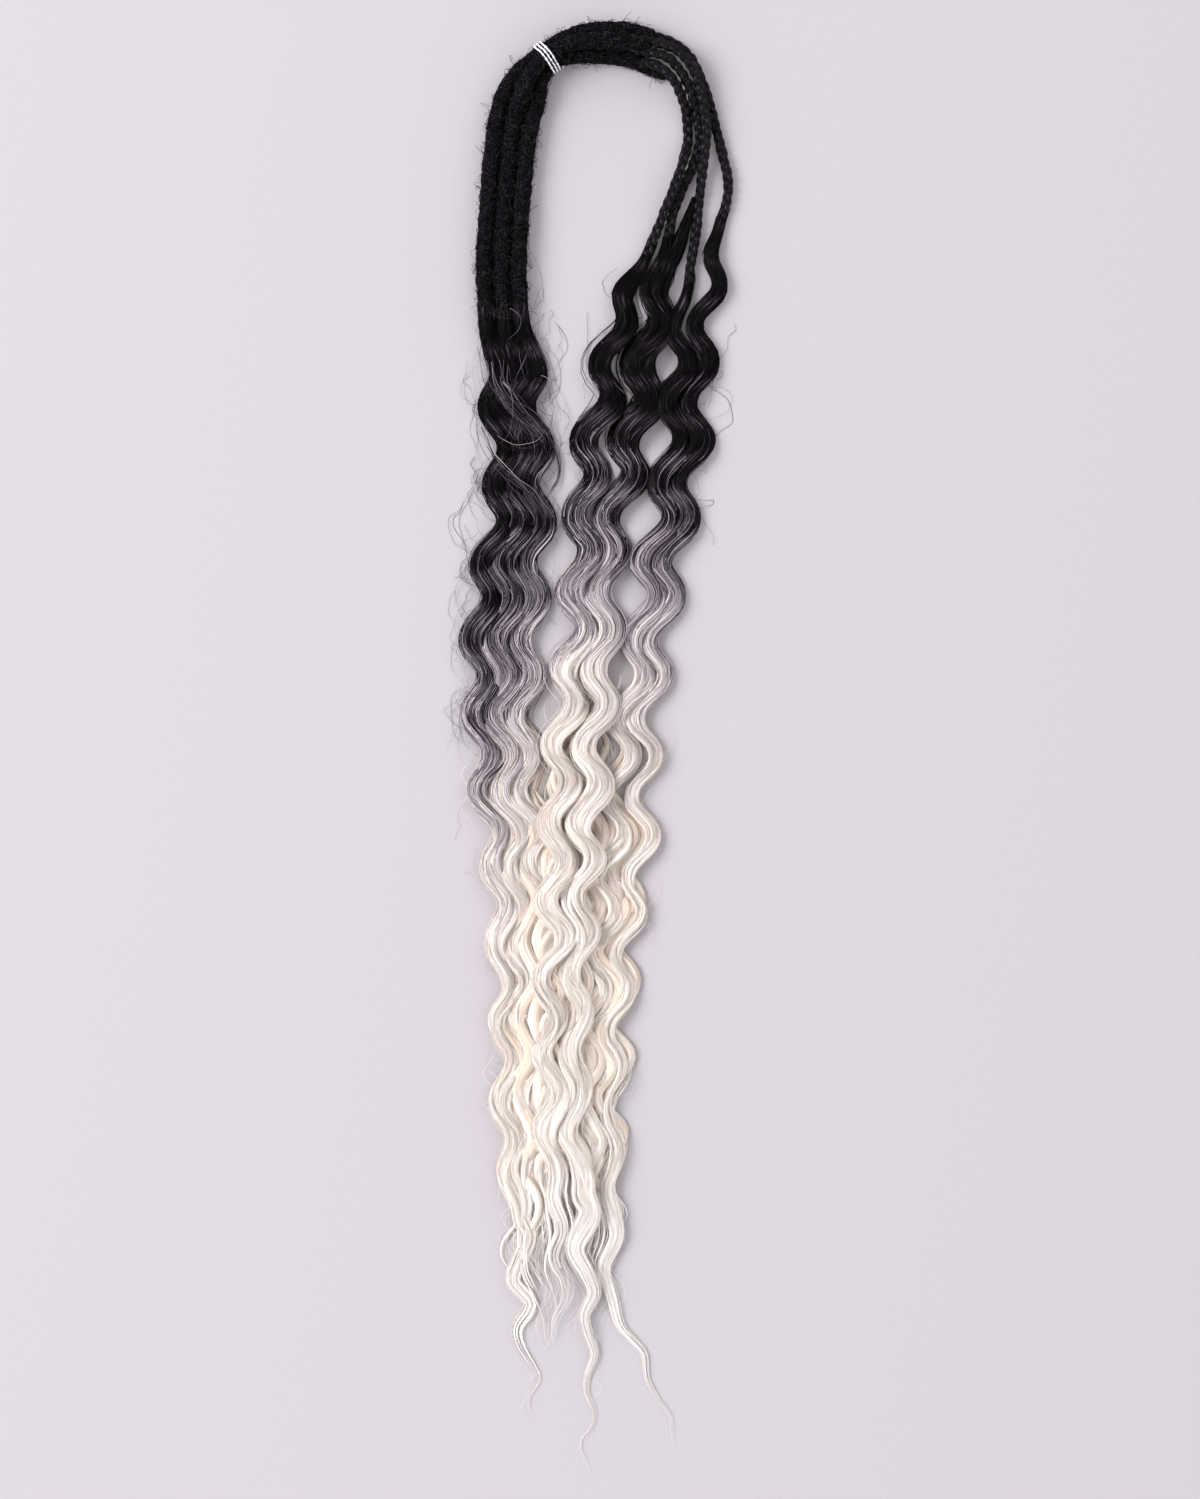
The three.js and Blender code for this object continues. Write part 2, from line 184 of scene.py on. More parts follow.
LOCKS = {
    "lock_dread_outer": dict(DREAD_LOCK, behind=26, lean=10, stray=0.12, reach=[
        (190, 3.4, 5.6), (100, 3.8, 6), (0, 4.6, 6), (-50, 4, 4.6), (-225, 4.4, 4.4), (-262, 3.4, 3.4),
        (-320, 2.6, 2.6),
    ], drift=[
        (-53.3, 222, 0), (-52, 200, 0), (-49.8, 187, 0), (-48.8, 173.5, 0), (-47, 150, 0), (-46, 117, 0),
        (-52, 84, 0), (-56.5, 46.5, 0), (-54.5, 13.5, 0), (-52, -24, 0), (-46.5, -61.5, 0), (-45, -99, 0),
        (-43.2, -146, 0), (-41, -193, 0), (-36.7, -218, 0), (-32.4, -229, 0), (-36.7, -240, 0),
        (-39.5, -250, 0), (-31.5, -260.5, 0), (-37.6, -271.5, 0), (-36.7, -279.5, 0), (-30.6, -290, 0),
        (-28, -296, 0), (-33, -305, 0), (-31, -317.5, 0),
    ]),
    "lock_dread_middle": dict(DREAD_LOCK, behind=7, lean=0, stray=0.16, reach=[
        (190, 5.4, 5.4), (100, 5.8, 6), (0, 5.6, 5.6), (-50, 4.4, 4.4), (-280, 4.4, 4.4),
    ], drift=[
        (-45.2, 222, 0), (-43.9, 200, 0), (-41.2, 187, 0), (-40.8, 176, 0), (-39, 150, 0), (-37, 117, 0),
        (-41.5, 84, 0), (-45.5, 46.5, 0), (-44.8, 13.5, 0), (-42.5, -24, 0), (-37, -61.5, 0),
        (-35.5, -99, 0), (-34.4, -146, 0), (-32.8, -193, 0), (-33.5, -215, 0), (-35, -232, 0),
        (-34, -246, 0), (-28, -258, 0), (-24.5, -268, 0), (-24.5, -280, 0),
    ]),
    "lock_dread_inner": dict(DREAD_LOCK, behind=-9, lean=0, stray=0.16, reach=[
        (190, 5.4, 5.0), (100, 5.6, 5.2), (0, 5.4, 5.4), (-50, 4.2, 4.2), (-280, 4.2, 4.2),
    ], drift=[
        (-37.1, 222, 0), (-35.8, 200, 0), (-31.6, 187, 0), (-31.2, 176, 0), (-30.6, 150, 0),
        (-28, 117, 0), (-30.5, 84, 0), (-33, 46.5, 0), (-35.2, 13.5, 0), (-33, -24, 0), (-27.4, -61.5, 0),
        (-26, -99, 0), (-25.6, -146, 0), (-24.6, -193, 0), (-25, -212, 0), (-22, -228, 0),
        (-24.5, -244, 0), (-20, -258, 0), (-20, -273, 0),
    ]),
    "lock_braid_inner": dict(BRAID_LOCK, swing=4.6, lean=-7, stray=0.1, rough=0.1, reach=[
        (220, 5, 5), (180, 4.4, 6.4), (143, 5.2, 7.2), (100, 5.2, 7.4), (40, 6.6, 5.6), (-30, 6.4, 4.6),
        (-100, 5.6, 4.4), (-190, 4.6, 5.4), (-212, 4.4, 6.4), (-240, 4.2, 4.6), (-280, 3.6, 3.6),
    ], drift=[
        (26.5, 240.6, 0.3), (22.8, 231.1, 0), (12.6, 211, 0), (7.2, 190, 0), (1.2, 164, 0),
        (-4.4, 136, 0), (-8.2, 89, 0), (-10.5, 46.5, 0), (-15.5, 13.5, 2), (-17.5, -24, 4),
        (-19.5, -71, 5.3), (-22, -118, 5.3), (-22, -165, 5), (-22, -196, 4.2), (-18, -213, 4),
        (-15.5, -226, 3.8), (-19.2, -238, 3.4), (-15, -248, 3), (-14.8, -258, 2.6), (-20, -267.5, 2),
        (-20.8, -276, 1), (-24.5, -282.5, 0),
    ]),
    "lock_braid_second": dict(BRAID_LOCK, swing=4.4, lean=5, stray=0.14, rough=0.12, reach=[
        (225, 4.5, 6), (180, 5.4, 11), (143, 5, 10), (95, 6.2, 5), (40, 5.8, 7), (-30, 5.2, 6.4),
        (-100, 4.8, 5.6), (-190, 5.4, 4.8), (-212, 5.8, 4.4), (-232, 4.2, 4.2), (-258, 3, 3),
        (-300, 2.3, 2.3), (-340, 2.2, 2.2),
    ], drift=[
        (34.6, 248, 0), (32.9, 239.5, 0), (27, 211, 0), (22.5, 187.5, 0), (18.5, 164, 0), (13.5, 136, 0),
        (6.5, 103, 0), (4, 70, 0), (1.5, 32.5, 2.6), (-3.5, -5, 4.6), (-6, -52, 5.4), (-9.5, -99, 5.2),
        (-11.2, -146, 4.4), (-10.5, -190, 4.2), (-5.5, -206, 4.1), (-2.8, -217, 4), (-10.5, -233, 3.8),
        (-5.4, -245, 3.4), (-1.8, -255, 3), (-6, -265, 2.4), (-4.7, -274.5, 1.8), (-1.6, -284, 1),
        (-5.2, -295, 0.4), (-5, -303, 0), (-1.6, -311, 0), (-2.6, -318.5, 0), (-8, -326, 0),
        (-6, -333, 0), (-2.6, -341, 0),
    ]),
    "lock_braid_third": dict(OUTER_LOCK, lean=0, stray=0.14, rough=0.12, reach=[
        (210, 4, 2.2), (190, 5.6, 3.2), (140, 6, 5), (95, 5.2, 5.4), (20, 4.4, 4.6), (-40, 4, 4),
        (-260, 4, 4),
    ], drift=[
        (43.3, 226, 0), (42.4, 217.5, 0), (37.6, 197, 0), (38.2, 173.5, 0), (36, 150, 0), (32, 121.5, 0),
        (25, 84, 0), (19, 46.5, 0), (13, 13.5, 0), (8.5, -24, 0), (4, -71, 0), (0, -118, 0),
        (-4, -165, 0), (-4, -200, 0), (0, -226, 0), (-3.4, -241, 0), (0.5, -254, 0), (0, -263, 0),
        (3, -269, 0), (6.4, -268, 0),
    ]),
    "lock_braid_outer": dict(OUTER_LOCK, lean=13, stray=0.1, rough=0.1, reach=[
        (235, 3.6, 3.4), (205, 3.8, 4), (185, 4.6, 4.2), (150, 5.4, 5), (100, 5, 4.6), (20, 4, 3.8),
        (-40, 3.2, 3.2), (-225, 3.4, 3.4), (-258, 2.4, 2.4), (-300, 1.9, 1.9), (-340, 1.8, 1.8),
    ], drift=[
        (61.3, 257, 0), (58, 248.7, 0), (54.3, 232, 0), (52, 212, 0), (50.6, 199, 0), (48.4, 187.5, 0),
        (45.5, 154.5, 0), (41.2, 121.5, 0), (34.2, 84, 0), (28.2, 46.5, 0), (23, 13.5, 0), (21.5, -24, 0),
        (18.4, -61.5, 0), (12, -99, 0), (7.8, -135, 0), (7, -170, 0), (6, -193, 0), (7, -217, 0),
        (8.6, -229, 0), (2.8, -243.5, 0), (6.6, -257.5, 0), (10.3, -271, 0), (16.5, -278, 0),
        (21.8, -284.5, 0), (23, -295, 0), (27.7, -304.5, 0), (33.4, -312, 0), (34.8, -320, 0),
        (36, -336.5, 0),
    ]),
}

# The strand that slips out beside the third braid and joins the second lock: columns x, y, width
SLIP = [
    (44.8, 259, 1.2), (42.8, 251, 4.2), (40.2, 243, 6.4), (37, 235, 8.2), (32.5, 226, 9.5), (28, 214, 10),
]

# How far the waves swing further down, against a lock's own swing: columns y, factor
SWELL = [
    (60, 1), (0, 1.1), (-40, 1.1), (-80, 0.98), (-120, 0.85), (-180, 0.75), (-205, 0.5), (-222, 0),
    (-345, 0),
]

# How light the hair is along each side of the hank: columns y, lightness
FADES = {
    "left": [
        (200, 0.08), (155, 0.11), (110, 0.18), (72, 0.33), (44, 0.47), (16, 0.61), (-9, 0.80),
        (-36, 0.885), (-71, 0.905), (-110, 0.93), (-190, 0.95), (-235, 1.0),
    ],
    "right": [
        (175, 0.06), (150, 0.1), (130, 0.15), (107, 0.29), (79, 0.52), (51, 0.69), (26, 0.89),
        (-24, 0.905), (-100, 0.93), (-190, 0.95), (-235, 1.0),
    ],
    "outer": [
        (155, 0.06), (128, 0.1), (96, 0.32), (60, 0.55), (24, 0.80), (-9, 0.89), (-100, 0.93),
        (-190, 0.95), (-235, 1.0),
    ],
}

# Fine hairs that stand off a lock: columns lock, side, highest y, lowest y, count, reach
FRIZZ = [
    ("lock_dread_outer", -1, 235, 190, 20, 4),
    ("lock_dread_outer", -1, 175, 0, 96, 13),
    ("lock_dread_outer", -1, 20, -120, 18, 10),
    ("lock_dread_inner", 1, 205, 120, 40, 13),
    ("lock_dread_inner", 1, 130, 40, 20, 8),
    ("lock_braid_inner", -1, 215, 120, 12, 8),
    ("lock_braid_outer", 1, 215, 110, 10, 16),
    ("lock_braid_outer", 1, 60, -250, 20, 6),
    ("lock_braid_second", 1, 0, -320, 18, 8),
    ("lock_dread_outer", -1, -120, -300, 18, 7),
]

# Strands that lie across the locks: columns count, spread, darkest, lightest,
# then the line that they follow in x, y, z
SWEEPS = [
    (26, 2.6, 0.16, 0.46, [
        (-50, 192, 1.5), (-48.4, 180, 4.4), (-46.4, 170, 5.6), (-41, 162, 5.8), (-32, 153, 5.8),
        (-25, 145, 5.2), (-21.5, 137, 3),
    ]),
    (16, 2.0, 0.16, 0.44, [
        (-54, 152, 1), (-50, 141, 3.4), (-45, 133, 5.2), (-38, 126, 5.8), (-30, 119, 5.6), (-24, 109, 4),
        (-23, 98, 3),
    ]),
    (9, 0.6, 0.1, 0.28, [
        (-28, 155, 4), (-22.6, 146, 2.2), (-18.6, 136, 1.2), (-18.8, 127, 1.2), (-24, 118, 3),
        (-27, 110, 4),
    ]),
    (1, 0.1, 0.52, 0.6, [
        (-49, 207, 7.4), (-41, 206, 8.4), (-36.2, 201.6, 8), (-37.6, 195.8, 7), (-43.7, 190.8, 6),
        (-50, 187.5, 5),
    ]),
    (1, 0.1, 0.5, 0.58, [
        (-47.2, 184.6, 6.4), (-45.5, 173.4, 6.6), (-40.8, 166.4, 6.8), (-40, 157, 6.8),
        (-41.9, 147.6, 6.6), (-46.1, 142.9, 5.4),
    ]),
    (1, 0.1, 0.5, 0.58, [
        (-40, 172, 5.6), (-34, 174, 6), (-26, 175, 5), (-19, 170, 1), (-14, 160, 0.4), (-12, 150, 0.3),
    ]),
    (3, 1.2, 0.3, 0.4, [
        (-52, 150, 3), (-44, 143, 5.6), (-36, 141, 6), (-27, 144, 5), (-23, 152, 3),
    ]),
    (1, 0.1, 0.45, 0.5, [
        (-47, 263, 8.2), (-42, 262.6, 8.4), (-37, 258, 8.4), (-33, 251, 7),
    ]),
]

# The width that loose strands fill under the faded locks: columns y, left edge, right edge
LOOSE = [
    (35, -43, 13), (10, -43, 11), (-10, -43, 12), (-40, -42, 18), (-61, -42, 17), (-100, -42, 11),
    (-190, -42, 9), (-230, -40, 9), (-270, -36, 8),
]

# Lumps of the felt: columns bumps to the millimetre, height
LUMPS = [(0.2, 0.5), (0.6, 0.45), (1.3, 0.4)]


def dice(name):
    """Random numbers of a piece's own, the same on every run."""
    return np.random.default_rng(zlib.crc32(name.encode()))


def smooth(value, low, high):
    """A soft step from 0 at low to 1 at high."""
    share = np.clip((value - low) / (high - low), 0, 1)
    return share * share * (3 - 2 * share)


class Wander:
    """Slow random swings, mostly between -1 and 1, along a length, one for each of count lines."""

    SPEEDS = np.array([1.0, 1.7, 2.4])
    DAMPING = np.array([1.4, 2.4, 3.4])

    def __init__(self, rng, cycles, count):
        size = (count, len(self.SPEEDS))
        self.rates = cycles * (0.6 + 0.8 * rng.random(size)) * self.SPEEDS
        self.starts = rng.random(size)

    def at(self, shares, which=slice(None)):
        rates, starts = self.rates[which][:, None], self.starts[which][:, None]
        swings = np.sin(TURN * (shares[..., None] * rates + starts))
        return (swings / self.DAMPING).sum(-1)


def by_rows(rows, column, value):
    """A column of a table read at another value of its first column."""
    table = sorted(rows)
    return np.interp(value, [row[0] for row in table], [row[column] for row in table])


class Line:
    """A smooth line through the rows of a table, read by the share of its length."""

    BITS = 40

    def __init__(self, rows):
        rows = np.asarray(rows, float)
        ends = np.vstack([2 * rows[0] - rows[1], rows, 2 * rows[-1] - rows[-2]])
        step = np.linspace(0, 1, self.BITS, endpoint=False)[:, None]
        pieces = []
        for first, start, stop, last in zip(ends, ends[1:], ends[2:], ends[3:]):
            leave, arrive = (stop - first) / 2, (last - start) / 2
            pieces.append(start + leave * step + (3 * (stop - start) - 2 * leave - arrive) * step**2
                          + (2 * (start - stop) + leave + arrive) * step**3)
        self.points = np.vstack(pieces + [rows[-1:]])
        gaps = np.linalg.norm(np.diff(self.points, axis=0), axis=1)
        self.far = np.concatenate([[0], np.cumsum(gaps)])
        self.length = self.far[-1]

    def at(self, shares):
        place = np.asarray(shares) * self.length
        return np.stack([np.interp(place, self.far, column) for column in self.points.T], -1)


def unit(vectors):
    almost_nothing = 1e-12
    return vectors / (np.linalg.norm(vectors, axis=-1, keepdims=True) + almost_nothing)


def directions(points, roll=None):
    """Unit vectors along each line of points, to its side and over it; roll lifts the side by an angle."""
    along = unit(np.gradient(points, axis=-2))
    side = unit(np.cross(UP, along))
    over = np.cross(along, side)
    if roll is not None:
        cosine, sine = np.cos(roll)[..., None], np.sin(roll)[..., None]
        side, over = side * cosine + over * sine, over * cosine - side * sine
    return along, side, over


def corners(sides, first=0.0):
    """The angles of the corners round a tube."""
    return TURN * np.arange(sides) / sides + first


class Shell:
    """Gathers tubes into one mesh, with values at each point that the materials read."""

    # Shares of the map: the gap beside a face, the band of the tubes' ends, and an end's place and size
    FACE_GAP = 0.1
    END_BAND = 0.02
    END_LEVEL = 0.0075
    END_HEIGHT = 0.007
    END_WIDTH = 0.4

    def __init__(self):
        self.points, self.quads, self.ends, self.maps, self.end_maps = [], [], [], [], []
        # One of the values is how much painted shade each point gets
        self.values = {"fade": [], "painted_shade": [], "tint": [], "strand": []}
        self.count = 0

    def tubes(self, centres, wide, high, sides, fade, painted_shade, tint, column, strand=None, roll=None):
        """Closed tubes. centres is lines x points x 3, and the other values fit lines x points.
        column is a part of the map, and strand where each line starts among the streaks along it."""
        _, side, over = directions(centres, roll)
        angles = corners(sides, BOTTOM)
        shape = centres.shape[:2] + (sides,)
        across = np.broadcast_to(np.asarray(wide, float)[..., None] * np.cos(angles), shape)
        upward = np.broadcast_to(np.asarray(high, float)[..., None] * np.sin(angles), shape)
        ring = (centres[:, :, None] + side[:, :, None] * across[..., None]
                + over[:, :, None] * upward[..., None])
        start = 0 if strand is None else strand[:, None, None]
        self.rings(ring, fade, painted_shade, tint, column, across + start)

    def hairs(self, lines, radius, fade, column, tint):
        """Plain three-sided hairs along lines of points."""
        self.tubes(lines, radius, radius, 3, fade, 0.0, tint, column)

    def rings(self, ring, fade, painted_shade, tint, column, strand):
        """Closed tubes from rings of points, with their place in the map."""
        lines, steps, sides = ring.shape[:3]
        number = self.count + np.arange(lines * steps * sides).reshape(lines, steps, sides)
        after = np.roll(number, -1, axis=2)
        faces = np.stack([number[:, :-1], number[:, 1:], after[:, 1:], after[:, :-1]], -1)
        self.quads.append(faces.reshape(-1, 4))
        left, right = column
        width = (right - left) / lines
        line, step, corner = np.meshgrid(
            np.arange(lines), np.arange(steps - 1), np.arange(sides), indexing="ij")
        low, high = (left + width * (line + (corner + part) / sides)
                     for part in (self.FACE_GAP, 1 - self.FACE_GAP))
        start, stop = (self.END_BAND + (1 - 2 * self.END_BAND) * (step + part) / (steps - 1)
                       for part in (0, 1))
        places = [(low, start), (low, stop), (high, stop), (high, start)]
        self.maps.append(np.stack([np.stack(pair, -1) for pair in places], -2).reshape(-1, 2))
        angles = corners(sides)
        middle = (left + width * (np.arange(lines)[:, None] + 0.5)
                  + self.END_WIDTH * width * np.cos(angles))
        for end, order, level in ((0, 1, self.END_LEVEL), (steps - 1, -1, 1 - self.END_LEVEL)):
            self.ends.append(number[:, end, ::order])
            height = np.broadcast_to(level + self.END_HEIGHT * np.sin(angles), middle.shape)
            self.end_maps.append(np.stack([middle, height], -1)[:, ::order].reshape(-1, 2))
        self.points.append(ring.reshape(-1, 3))
        for name, value in (("fade", fade), ("painted_shade", painted_shade), ("tint", tint), ("strand", strand)):
            value = np.asarray(value, float)
            value = value[..., None] if value.ndim == 2 else value
            self.values[name].append(np.broadcast_to(value, ring.shape[:3]).reshape(-1))
        self.count += lines * steps * sides

    def build(self, name, material, node, slot):
        """The gathered tubes as one object that rides with the hank."""
        points = np.vstack(self.points) * MM
        faces = [np.vstack(self.quads)] + self.ends
        loops = np.concatenate([group.reshape(-1) for group in faces])
        sizes = np.concatenate([np.full(len(group), group.shape[1]) for group in faces])
        starts = np.concatenate([[0], np.cumsum(sizes)[:-1]])
        mesh = bpy.data.meshes.new(name)
        mesh.vertices.add(len(points))
        mesh.vertices.foreach_set("co", points.astype(np.float32).ravel())
        mesh.loops.add(len(loops))
        mesh.loops.foreach_set("vertex_index", loops.astype(np.int32))
        mesh.polygons.add(len(sizes))
        mesh.polygons.foreach_set("loop_start", starts.astype(np.int32))
        mesh.polygons.foreach_set("use_smooth", np.ones(len(sizes), bool))
        mesh.update(calc_edges=True)
        for key, values in self.values.items():
            attribute = mesh.attributes.new(key, "FLOAT", "POINT")
            attribute.data.foreach_set("value", np.concatenate(values).astype(np.float32))
        layer = mesh.uv_layers.new(name="OFBake", do_init=False)
        layer.uv.foreach_set("vector", np.vstack(self.maps + self.end_maps).astype(np.float32).ravel())
        mesh.materials.append(material)
        piece = bpy.data.objects.new(name, mesh)
        bpy.context.scene.collection.objects.link(piece)
        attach(piece, "root")
        if node:
            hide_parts(node)
        return piece


# Materials

# Colours of hair at the top of a lock, and with painted shade, honey in the cream, at its sides, underneath
# and deep inside it: columns lightness, colour
OPEN_TONES = [
    (0.08, (0.0024, 0.0020, 0.0027)), (0.15, (0.0055, 0.0047, 0.0058)), (0.24, (0.028, 0.024, 0.0285)),
    (0.36, (0.098, 0.084, 0.101)), (0.52, (0.225, 0.195, 0.232)), (0.66, (0.37, 0.328, 0.372)),
    (0.80, (0.585, 0.53, 0.548)), (0.90, (0.675, 0.60, 0.55)), (0.95, (0.745, 0.68, 0.635)),
    (1.0, (0.82, 0.79, 0.785)),
]
PAINTED_SHADE_TONES = [
    (0.08, (0.0014, 0.0012, 0.0016)), (0.36, (0.045, 0.039, 0.045)), (0.52, (0.13, 0.112, 0.124)),
    (0.80, (0.50, 0.425, 0.39)), (0.90, (0.75, 0.615, 0.49)), (0.95, (0.79, 0.67, 0.56)),
    (1.0, (0.82, 0.775, 0.75)),
]

# What is left of a colour in dull and bright streaks, whose dull end is also the loose strands' painted
# shade: columns brightness, factor
STREAK_SHADES = [(0.0, (0.83, 0.795, 0.75)), (0.3, (0.92, 0.91, 0.895)), (0.8, (0.975, 0.975, 0.975))]

BRAID_TONES = [(0.0, (0.0018, 0.0015, 0.0020)), (1.0, (0.0058, 0.0050, 0.0064))]
# Painted shade on the braids' cores and the undersides of their strands
BRAID_PAINTED_SHADE = (0.0015, 0.0013, 0.0016)
FELT_TONES = [
    (0.36, (0.0012, 0.0010, 0.0013)), (0.52, (0.0034, 0.0030, 0.0038)), (0.66, (0.024, 0.0212, 0.0256)),
]
FELT_PATCHES = [(0.35, (0.7, 0.69, 0.71)), (0.68, (1.3, 1.27, 1.32))]
FELT_FUZZ = (0.06, 0.053, 0.062)
THREAD_TONES = [(0.3, (0.76, 0.76, 0.82)), (0.7, (0.95, 0.95, 0.98))]
# Painted shade on the lower turns of the thread
THREAD_PAINTED_SHADE = (0.40, 0.36, 0.35)
FLOOR_TONES = [(0.3, (0.448, 0.418, 0.446)), (0.7, (0.466, 0.436, 0.464))]
SKY_TONES = [(0.5, (1.0, 0.995, 1.0)), (1.0, (0.2, 0.2, 0.205))]
VIOLET_GLOSS = (0.96, 0.87, 1.0, 1)


def new_material(name):
    material = bpy.data.materials.new(name)
    material.use_nodes = True
    tree = material.node_tree
    return material, tree, tree.nodes["Principled BSDF"]


def ramp(tree, stops, source):
    node = tree.nodes.new("ShaderNodeValToRGB")
    while len(node.color_ramp.elements) < len(stops):
        node.color_ramp.elements.new(0.5)
    for element, (place, colour) in zip(node.color_ramp.elements, stops):
        element.position = place
        element.color = (*colour, 1)
    tree.links.new(source, node.inputs["Fac"])
    return node.outputs["Color"]


def read(tree, name):
    node = tree.nodes.new("ShaderNodeAttribute")
    node.attribute_name = name
    return node.outputs["Fac"]


def fill(tree, sockets, values):
    """Sets sockets to plain values, or links them where a value comes from another node."""
    for socket, value in zip(sockets, values):
        if isinstance(value, (int, float)):
            socket.default_value = value
        elif isinstance(value, tuple):
            socket.default_value = (*value, 1)
        else:
            tree.links.new(value, socket)


def calculate(tree, kind, *values):
    node = tree.nodes.new("ShaderNodeMath")
    node.operation = kind
    fill(tree, node.inputs, values)
    return node.outputs["Value"]


def sum_of(tree, start, value, factor):
    """start plus value times factor."""
    return calculate(tree, "ADD", start, calculate(tree, "MULTIPLY", value, factor))


def mix(tree, kind, amount, first, second):
    node = tree.nodes.new("ShaderNodeMix")
    node.data_type = "RGBA"
    node.blend_type = kind
    sockets = [node.inputs[0]] + [socket for socket in node.inputs if socket.type == "RGBA"]
    fill(tree, sockets, (amount, first, second))
    return [output for output in node.outputs if output.type == "RGBA"][0]


def noise_texture(tree, vector, scale, detail):
    node = tree.nodes.new("ShaderNodeTexNoise")
    node.inputs["Scale"].default_value = scale
    node.inputs["Detail"].default_value = detail
    tree.links.new(vector, node.inputs["Vector"])
    return node.outputs["Fac"]


def speckle(tree, scale, detail):
    place = tree.nodes.new("ShaderNodeTexCoord").outputs["Object"]
    return noise_texture(tree, place, scale, detail)


def streaks(tree):
    """Fine streaks along the hair, from about -0.2 to 0.2."""
    to_the_millimetre, to_the_metre = 1.5, 26
    place = tree.nodes.new("ShaderNodeSeparateXYZ")
    tree.links.new(tree.nodes.new("ShaderNodeTexCoord").outputs["Object"], place.inputs["Vector"])
    across = tree.nodes.new("ShaderNodeCombineXYZ")
    tree.links.new(calculate(tree, "MULTIPLY", read(tree, "strand"), to_the_millimetre), across.inputs["X"])
    tree.links.new(calculate(tree, "MULTIPLY", place.outputs["Y"], to_the_metre), across.inputs["Y"])
    return calculate(tree, "SUBTRACT", noise_texture(tree, across.outputs["Vector"], 1.0, 3.0), 0.5)


def add_bump(tree, shader, height, distance, strength):
    bump = tree.nodes.new("ShaderNodeBump")
    bump.inputs["Distance"].default_value = distance
    fill(tree, [bump.inputs["Strength"]], [strength])
    tree.links.new(height, bump.inputs["Height"])
    tree.links.new(bump.outputs["Normal"], shader.inputs["Normal"])


def hair_material():
    """Glossy fibre that fades from black through lilac grey to cream in streaks, with painted shade, honey
    in the cream, deep in a lock.
    """
    material, tree, shader = new_material("fading hair")
    tint, painted_shade, lightness_here = (read(tree, name) for name in ("tint", "painted_shade", "fade"))
    streak = streaks(tree)
    turning = calculate(tree, "MULTIPLY", lightness_here, calculate(tree, "SUBTRACT", 1, lightness_here))
    amount = sum_of(tree, 0.1, turning, 7.5)
    fade = sum_of(tree, lightness_here, streak, amount)
    # Painted shade mixed in towards the shaded tones
    tone = mix(tree, "MIX", painted_shade, ramp(tree, OPEN_TONES, fade), ramp(tree, PAINTED_SHADE_TONES, fade))
    shade = ramp(tree, STREAK_SHADES, sum_of(tree, tint, streak, 1.3))
    tree.links.new(mix(tree, "MULTIPLY", 1.0, tone, shade), shader.inputs["Base Color"])
    rough = sum_of(tree, sum_of(tree, 0.22, tint, 0.16), painted_shade, 0.35)
    tree.links.new(rough, shader.inputs["Roughness"])
    shader.inputs["Specular IOR Level"].default_value = 0.05
    shader.inputs["Specular Tint"].default_value = VIOLET_GLOSS
    add_bump(tree, shader, streak, 0.6 * MM, sum_of(tree, 0.5, lightness_here, -0.42))
    return material


def braid_material():
    """Black plaited fibre with a soft violet gloss and painted shade on the cores and undersides of its
    strands.
    """
    material, tree, shader = new_material("braided hair")
    tone = ramp(tree, BRAID_TONES, read(tree, "tint"))
    shade = mix(tree, "MIX", read(tree, "painted_shade"), tone, BRAID_PAINTED_SHADE)
    tree.links.new(shade, shader.inputs["Base Color"])
    tree.links.new(sum_of(tree, 0.22, speckle(tree, 420, 3), 0.18), shader.inputs["Roughness"])
    shader.inputs["Specular IOR Level"].default_value = 0.16
    shader.inputs["Specular Tint"].default_value = VIOLET_GLOSS
    return material


def felt_material():
    """Matt felted black hair with paler flecks."""
    material, tree, shader = new_material("felted hair")
    coarse = speckle(tree, 330, 6)
    fine = speckle(tree, 1300, 5)
    base = mix(tree, "MULTIPLY", 1.0, ramp(tree, FELT_TONES, fine), ramp(tree, FELT_PATCHES, coarse))
    fuzz = mix(tree, "MIX", read(tree, "fade"), base, FELT_FUZZ)
    tree.links.new(fuzz, shader.inputs["Base Color"])
    tree.links.new(sum_of(tree, 0.62, fine, 0.25), shader.inputs["Roughness"])
    add_bump(tree, shader, fine, 1.3 * MM, 1.0)
    shader.inputs["Specular IOR Level"].default_value = 0.025
    return material


def thread_material():
    """White twisted thread with painted shade on its lower turns."""
    material, tree, shader = new_material("tie thread")
    fine = speckle(tree, 1500, 3)
    shade = mix(tree, "MIX", read(tree, "painted_shade"), ramp(tree, THREAD_TONES, fine), THREAD_PAINTED_SHADE)
    tree.links.new(shade, shader.inputs["Base Color"])
    tree.links.new(sum_of(tree, 0.4, fine, 0.2), shader.inputs["Roughness"])
    return material


HAIR, PLAITED, FELT, THREAD = hair_material(), braid_material(), felt_material(), thread_material()


# Wavy locks

def lightness(lock, level):
    return by_rows(FADES[lock["fade"]], 1, level)


